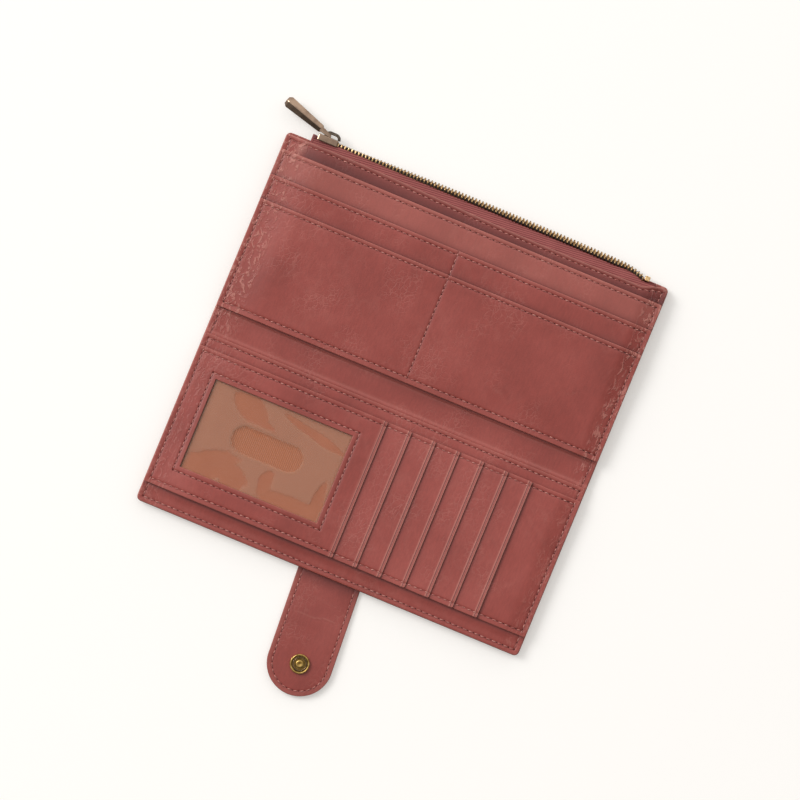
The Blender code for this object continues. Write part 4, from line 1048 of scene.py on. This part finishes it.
# the bar's section: a low roof above and below short upright sides, as (aside, z) shares of its half width
roof = [(0.09, 0.84), (1, 0.26), (1, -0.26), (0.09, -0.84), (-0.09, -0.84), (-1, -0.26), (-1, 0.26), (-0.09, 0.84)]
stations = [
    (pull["barStart"] - 0.3, pull["root"] * 0.62),
    (pull["barStart"] + 0.6, pull["root"]),
    (pull["end"] - 1.5, pull["wide"]),
    (pull["end"] - 1.2, pull["wide"] * 0.96),
    (pull["end"], pull["wide"] * 0.62),
]
bar = [[pullPoint(s, a * half, z * half) for a, z in roof] for s, half in stations]
# the fork's cheek is round at the pin and widens to the bar
cheek = [(-0.72 * np.cos(a), 0.72 * np.sin(a)) for a in np.linspace(-1.35, 1.35, 9)] + [(5.3, 1.25), (5.3, -1.25)]
pinRing = [(0.5 * np.cos(a), 0.5 * np.sin(a)) for a in np.arange(16) * np.pi / 8]
web = [(4.62, 1.15), (4.62, -1.15), (5.4, -1.2), (5.4, 1.2)]
cheekIn, cheekOut = pull["cheek"]
pullPieces = [
    loft("pullBar", bar, 25),
    pullSlab("pullCheekNear", cheek, -cheekIn, -cheekOut),
    pullSlab("pullCheekFar", cheek, cheekIn, cheekOut),
    pullSlab("pullPin", pinRing, -pull["pinHalf"], pull["pinHalf"]),
    pullSlab("pullWeb", web, -pull["webHalf"], pull["webHalf"]),
]
for piece in pullPieces:
    settle(piece, "slider", "zip_pull", "pull_tab")
for piece in snapPieces:
    settle(piece, "brass", "tab_end", "snap_socket")
print("snap made")

tab = {
    "width": 31.3,
    "centre": 1.4,
    "lean": tan(radians(3.4)),
    "seamIn": 2.5,
    "ply": 0.8,
    "plyGap": 0.15,
    "creases": ((-104.0, 0.04), (-112.0, 0.13)),
    "bendHalf": 4.0,  # each fold's leather bends this far on both sides of its line
}
foldRoot, foldEnd = -101.3, -119.2
tabTop, tabTip = boxOf("tab_root_inner")[3], boxOf("tab_end_inner")[2]
tabHalf, tabMiddle = tab["width"] / 2, (foldRoot + foldEnd) / 2
tabRound = tabTip + tabHalf  # Y of the round end's centre


def tabCentre(y):
    return tab["centre"] + (-92 - y) * tab["lean"]


def tabSurface(y, inner):  # height of a ply's upper face: level, up the bend, level again
    rise = np.interp(-y, [-foldRoot, -foldEnd], [0.0, 1.0])
    rise = rise + 0.12 * (bell(y - foldRoot, 3) - bell(y - foldEnd, 3))
    return -0.2 + rise - (0 if inner else tab["ply"] + tab["plyGap"])


def tabPly(name, inner, low, high, nearBody, farBody, fold, *replaced):
    roundLow, roundHigh = low <= tabTip + 0.01, high >= tabTop - 0.01
    seamAt = tabHalf - tab["seamIn"]
    linesY = gridLines(low, high, 0.7, (roundLow, roundHigh), seams=[tabTip + tab["seamIn"]] if roundLow else [])
    u, y, away = sheetGrid(gridLines(-tabHalf, tabHalf, 0.9, seams=(-seamAt, seamAt)), linesY)
    edge = tabHalf - np.abs(u)
    if roundLow:
        # round end: (a, b) -> (a sqrt(1 - b^2 / 2), b sqrt(1 - a^2 / 2)) below the end's centre
        a, b = u / tabHalf, np.clip((tabRound - y) / tabHalf, 0, 1)
        inEnd = y < tabRound
        nu, nb = a * np.sqrt(1 - b**2 / 2), b * np.sqrt(1 - a**2 / 2)
        edge = np.where(inEnd, tabHalf * (1 - np.hypot(nu, nb)), edge)
        u, y = np.where(inEnd, nu * tabHalf, u), np.where(inEnd, tabRound - nb * tabHalf, y)
    if roundHigh:
        u, y = roundCorners(u, y, (-tabHalf, tabHalf, low, high), 4.0, ((1, 1), (-1, 1)))
    x = u + np.where(y < tabRound, tabCentre(tabRound), tabCentre(y))
    seamLine = bell(edge - tab["seamIn"], cover["seamWidth"])
    relief = -0.15 * seamLine + 0.10 * ease((edge - 3) / 5)
    wear = 0.3 * fade(away, 0.4) + 0.12 * bell(edge - 1.1, 0.8)
    within = ease((edge - 4.0) / 5)
    for place, depth in tab["creases"]:
        path = y - place - 1.6 * (fieldNoise(x, 0 * y + place, 8, 61) - 0.5) - 0.05 * x
        relief = relief - depth * (bell(path, 0.32) - 0.5 * bell(path - 0.8, 0.5)) * within
        wear = wear + 0.30 * depth / 0.16 * bell(path - 0.7, 0.35) * within
    relief = relief if inner else 0 * relief
    mid, half = tabSurface(y, inner) - tab["ply"] / 2, tab["ply"] / 2 + 0 * x
    shade = np.maximum(0.3 * seamLine, 0.10 + 0.45 * ease((y + 99.0) / 8))  # darker where it leaves the cover's edge
    made = closedSheet(name, x, y, away, mid, half, relief, leather, wear, shade, 0.4)
    settleBent(made, nearBody, farBody, fold + tab["bendHalf"], fold - tab["bendHalf"], *replaced)


for ply, inner in (("Inner", True), ("Outer", False)):
    root, bend, end = (f"tab_{part}_{ply.lower()}" for part in ("root", "bend", "end"))
    tabPly(f"tab{ply}Near", inner, tabMiddle, tabTop, "lower_half", "tab_bend", foldRoot, root, bend)
    tabPly(f"tab{ply}Far", inner, tabTip, tabMiddle, "tab_bend", "tab_end", foldEnd, end, bend)
print("tab made")

stitch = {
    "pitch": 2.95,
    "length": 1.8,
    "radius": 0.25,
    "slant": 4.0,
    "holeRadius": 0.31,
    "tabHole": 0.26,  # the tab's thinner leather closes more round the needle's hole
    "sections": np.array([-1.0, -0.82, -0.45, 0.0, 0.45, 0.82, 1.0]),
    "sides": 6,
}


def stitchPieces(name, places, directions, body, blendTo=None, fold=None, up=1):
    # each stitch is a tube on a short arch: radius r sqrt(1 - 0.93 t^4), height 0.3 r + 0.1 - 0.4 t^4
    turn, sides, rings = radians(stitch["slant"]), stitch["sides"], len(stitch["sections"])
    slanted = directions @ np.array([[np.cos(turn), np.sin(turn)], [-np.sin(turn), np.cos(turn)]])
    along = np.column_stack((slanted, 0 * slanted[:, 0]))
    aside = np.column_stack((-along[:, 1], along[:, 0], along[:, 2]))
    upward = np.array([0, 0, float(up)])
    t = stitch["sections"][None, :, None, None]
    angle = (np.arange(sides) * 2 * np.pi / sides)[None, None, :, None]
    radius = stitch["radius"] * np.sqrt(1 - 0.93 * t**4)
    lift = 0.10 + stitch["radius"] * 0.3 - 0.40 * t**4
    points = (places[:, None] + along[:, None] * t[:, :, 0] * stitch["length"] / 2)[:, :, None]
    points = points + aside[:, None, None] * np.cos(angle) * radius + upward * (np.sin(angle) * radius + lift)
    cap = np.arange(sides)
    quads, caps = ringFaces(rings, sides), np.stack((cap, cap[::-1] + (rings - 1) * sides))
    quads, caps = (quads[:, ::-1], caps) if up > 0 else (quads, caps[:, ::-1])
    start = (np.arange(len(places)) * rings * sides)[:, None]
    faces = (quads[None] + start[:, None]).reshape(-1, 4).tolist()
    faces += (caps[0] + start).tolist() + (caps[1] + start).tolist()
    made = meshObject(name, points.reshape(-1, 3), faces, thread)
    # each needle hole is a cone between two stitches, dark as painted shade
    corner = np.arange(8)
    rim = (corner * np.pi / 4)[None, :, None]
    spots = places + along * stitch["pitch"] / 2
    hole = stitch["tabHole"] if blendTo else stitch["holeRadius"]
    around = spots[:, None] + hole * (along[:, None] * np.cos(rim) + aside[:, None] * np.sin(rim)) + upward * 0.07
    centres = np.stack((spots + upward * 0.10, spots - upward * 0.25), 1)
    cones = np.concatenate((around, centres), 1).reshape(-1, 3)
    tops = np.stack((corner, (corner + 1) % 8, 0 * corner + 8), -1)
    lows = np.stack(((corner + 1) % 8, corner, 0 * corner + 9), -1)
    both = np.concatenate((tops, lows))[:, :: 1 if up > 0 else -1]
    coneFaces = (both[None] + (np.arange(len(places)) * 10)[:, None, None]).reshape(-1, 3)
    for piece in (made, meshObject(name + "Holes", cones, coneFaces, needleHoleShade)):
        if blendTo:
            settleBent(piece, body, blendTo, fold + tab["bendHalf"], fold - tab["bendHalf"])
        else:
            settle(piece, "leather", body)


def evenShares(length):  # where the stitches' middles are, as shares of a row's length
    count = max(1, int(round(length / stitch["pitch"])))
    return (np.arange(count) + 0.5) / count


def alongLine(start, end, surface, hang=None):
    # stitch centres at an even pitch between two points, on a surface whose mouth may hang
    start, end = np.array(start, float), np.array(end, float)
    length = np.linalg.norm(end - start)
    flat = start + (end - start) * evenShares(length)[:, None]
    z = surface(flat[:, 0], flat[:, 1])
    if hang:
        flat[:, 1] -= hang(flat[:, 0], flat[:, 1])
    return np.column_stack((flat, z)), np.repeat(((end - start) / length)[None], len(flat), 0)


def sewRows(name, rows, body):
    places, headings = zip(*(alongLine(*row) for row in rows))
    stitchPieces(name, np.concatenate(places), np.concatenate(headings), body)


def across(y, surface, left=sideLow, right=sideHigh, hang=None):
    return (left, y), (right, y), surface, hang


def down(x, top, low, surface):
    return (x, top), (x, low), surface


over, short = 0.3, 0.5  # a row runs on over the mouth below it, and starts short of its own mouth
mouthRows = [across(zipS, zipAt, hang=mouthDroop), across(slipS, slipAt), across(stripS, stripAt)]
sewRows("upperMouthStitches", mouthRows + [across(cardS, cardAt), across(bottom, cardAt)], "upper_half")
upperSides = []
for side in (sideLow, sideHigh):
    upperSides += [
        down(side, zipS, slipTop + over, zipAt),
        down(side, slipTop - short, stripTop + over, slipAt),
        down(side, stripTop - short, cardTop + over, stripAt),
        down(side, cardTop - short, bottom, cardAt),
    ]
upperSides += [down(centre, stripTop - short, cardTop + over, stripAt), down(centre, cardTop - short, bottom, cardAt)]
sewRows("upperSideStitches", upperSides, "upper_half")
billAt, frameAt, endAt = surfaces["billPanel"], surfaces["windowFrame"], surfaces["slotEndPanel"]
groupLow, groupTop = frameBox[2:4]
lowerRows = [across(lowerMouth, billAt), across(lowerBottom, billAt)]
for side, groupAt in ((sideLow, frameAt), (sideHigh, endAt)):
    lowerRows += [
        down(side, lowerMouth, groupTop + 0.4, billAt),
        down(side, groupTop - 0.4, groupLow + 0.4, groupAt),
        down(side, groupLow - 0.4, lowerBottom, billAt),
    ]
sewRows("lowerEdgeStitches", lowerRows, "lower_half")
groupRows = []
for seamY in groupSeamYs:
    groupRows.append(across(seamY, frameAt, right=slotEdges[0] - 0.3))
    for number in range(6):
        ends = slotEdges[number] + 0.3, slotEdges[number + 1] - 0.3
        groupRows.append(across(seamY, surfaces[f"uprightStrip{number + 1}"], *ends))
    groupRows.append(across(seamY, endAt, left=slotEdges[-1] + 0.3))
groupRows += [(start, end, frameAt) for start, end in zip(windowCorners, windowCorners[1:])]
sewRows("slotStitches", groupRows, "lower_half")
sewRows("spineStitches", [down(side, 5.0, -5.0, surfaces["spine"]) for side in (sideLow, sideHigh)], "spine")


def pathStitches(name, path, body, **more):
    # stitches at an even pitch along a path of points, heading along it
    path = np.asarray(path, float)
    walked = np.concatenate(([0], np.cumsum(np.linalg.norm(np.diff(path, axis=0), axis=1))))
    t = evenShares(walked[-1]) * walked[-1]
    spots, ahead, behind = (
        np.stack([np.interp(t + offset, walked, path[:, axis]) for axis in range(3)], -1) for offset in (0, 0.4, -0.4)
    )
    heading = (ahead - behind)[:, :2]
    stitchPieces(name, spots, heading / np.linalg.norm(heading, axis=1)[:, None], body, **more)


def tabPath(near, inner):
    # down one side, round the end and up the other, a seam's width inside the tab's edge
    inset = tabHalf - tab["seamIn"]
    if near:
        start = -93.6 if inner else tabTop - tab["seamIn"]  # the outer ply's seam goes on round its sewn end
        y = np.linspace(start, tabMiddle + 0.4, 60)
        flats = [np.column_stack((side * inset + tabCentre(y), y)) for side in (-1, 1)]
        if not inner:
            x = np.linspace(-inset + 2.6, inset - 2.6, 9)
            flats.append(np.column_stack((x + tabCentre(start), start + 0 * x)))
    else:
        y = np.linspace(tabMiddle - 1.1, tabRound, 24)
        angle = np.linspace(np.pi, 2 * np.pi, 40)[1:-1]
        end = np.column_stack((tabCentre(tabRound) + inset * np.cos(angle), tabRound + inset * np.sin(angle)))
        left, right = (np.column_stack((side * inset + tabCentre(y), y)) for side in (-1, 1))
        flats = [np.concatenate((left, end, right[::-1]))]
    height = -0.1 if inner else -tab["ply"] + 0.06
    return [np.column_stack((flat, tabSurface(flat[:, 1], inner) + height)) for flat in flats]


for ply, inner in (("Inner", True), ("Outer", False)):
    rootFold = {"blendTo": "tab_bend", "fold": foldRoot, "up": 1 if inner else -1}
    for number, path in enumerate(tabPath(True, inner)):
        pathStitches(f"tab{ply}Side{number + 1}Stitches", path, "lower_half", **rootFold)
    endFold = {**rootFold, "blendTo": "tab_end", "fold": foldEnd}
    pathStitches(f"tab{ply}EndStitches", tabPath(False, inner)[0], "tab_bend", **endFold)
outside = {"side": sideHigh, "top": 92.2, "low": -89.2, "from": 9.5, "z": 0.12}
for name, body, start, reach in (
    ("coverUpperStitches", "upper_half", outside["from"], outside["top"]),
    ("coverLowerStitches", "lower_half", -outside["from"], outside["low"]),
):
    corners = [(-1, start), (-1, reach), (1, reach), (1, start)]
    pathStitches(name, [(side * outside["side"], y, outside["z"]) for side, y in corners], body, up=-1)
print("stitches made:", len(madePieces))

floorLook = {"height": -1.95, "reach": 3000.0, "colour": "#D6D3D0", "glow": "#FFFCF5", "glowStrength": 0.335}


def makeFloor():
    corners = np.array([[-1, -1, 0], [1, -1, 0], [1, 1, 0], [-1, 1, 0]]) * floorLook["reach"]
    material, tree, shader, _ = startMaterial("paperSweep", 0.9)  # rolled white paper
    seen = addNode(tree, "LightPath").outputs["Is Camera Ray"]
    glow = maths(tree, "MULTIPLY", seen, floorLook["glowStrength"])
    feed(shader, {"Base Color": hexColour(floorLook["colour"])})
    feed(shader, {"Emission Color": hexColour(floorLook["glow"]), "Emission Strength": glow})
    meshObject("floor", corners + [0, 0, floorLook["height"]], np.array([[0, 1, 2, 3]]), material)


makeFloor()
scene = bpy.context.scene
scene.world = scene.world or bpy.data.worlds.new("studio")
scene.world.use_nodes = True
tree = scene.world.node_tree
tree.nodes.clear()
path = addNode(tree, "LightPath").outputs
seen = maths(tree, "MAXIMUM", path["Is Camera Ray"], path["Is Transmission Ray"])
room = addNode(tree, "TexCoord").outputs["Generated"]
facing = addNode(tree, "VectorMath", {0: room, 1: (-0.45, 0.85, 0.28)}, operation="DOT_PRODUCT").outputs["Value"]
bright = mapped(tree, facing, -0.75, 0.85, 0.04, 1.10)
fill = addNode(tree, "Background", {"Color": hexColour("#FFFFFF"), "Strength": bright}).outputs[0]
pale = addNode(tree, "Background", {"Color": hexColour("#FFFDF7"), "Strength": 1.0}).outputs[0]
either = addNode(tree, "MixShader", {0: seen, 1: fill, 2: pale}).outputs[0]
addNode(tree, "OutputWorld", {"Surface": either})

keyLight = {"place": (-3.24, 0.86, 2.96), "size": 2.3, "power": 110.0}
lamp = bpy.data.lights.new("softKey", "AREA")
lamp.shape, lamp.size, lamp.energy = "DISK", keyLight["size"], keyLight["power"]
lampObject = addObject("softKey", lamp)
lampObject.location = keyLight["place"]
aim = lampObject.constraints.new("TRACK_TO")
aim.target, aim.track_axis, aim.up_axis = addObject("lampAim", None), "TRACK_NEGATIVE_Z", "UP_Y"

view = {"place": (-0.00001, -0.00156, 1.5), "turn": 22.5, "lens": 143.6, "sensor": 36.0}
camera = bpy.data.cameras.new("camera")
camera.lens, camera.sensor_width = view["lens"], view["sensor"]
cameraObject = addObject("camera", camera)
cameraObject.location = view["place"]
cameraObject.rotation_euler = (0, 0, radians(view["turn"]))
scene.camera = cameraObject
scene.view_settings.view_transform = "Standard"

for name, material in (
    ("stiffener_upper", boardPaper),
    ("stiffener_lower", boardPaper),
    ("zip_bottom_stop", toothBrass),
    ("zip_top_stop_back", lacquer),
    ("zip_top_stop_front", lacquer),
    ("snap_cap", brass),
    ("snap_stud", brass),
    ("snap_eyelet", brass),
    ("slider_body", nickel),
    ("slider_crown", darkNickel),
):
    dress(nodes[name].data, material)

print("pieces:", len(madePieces))
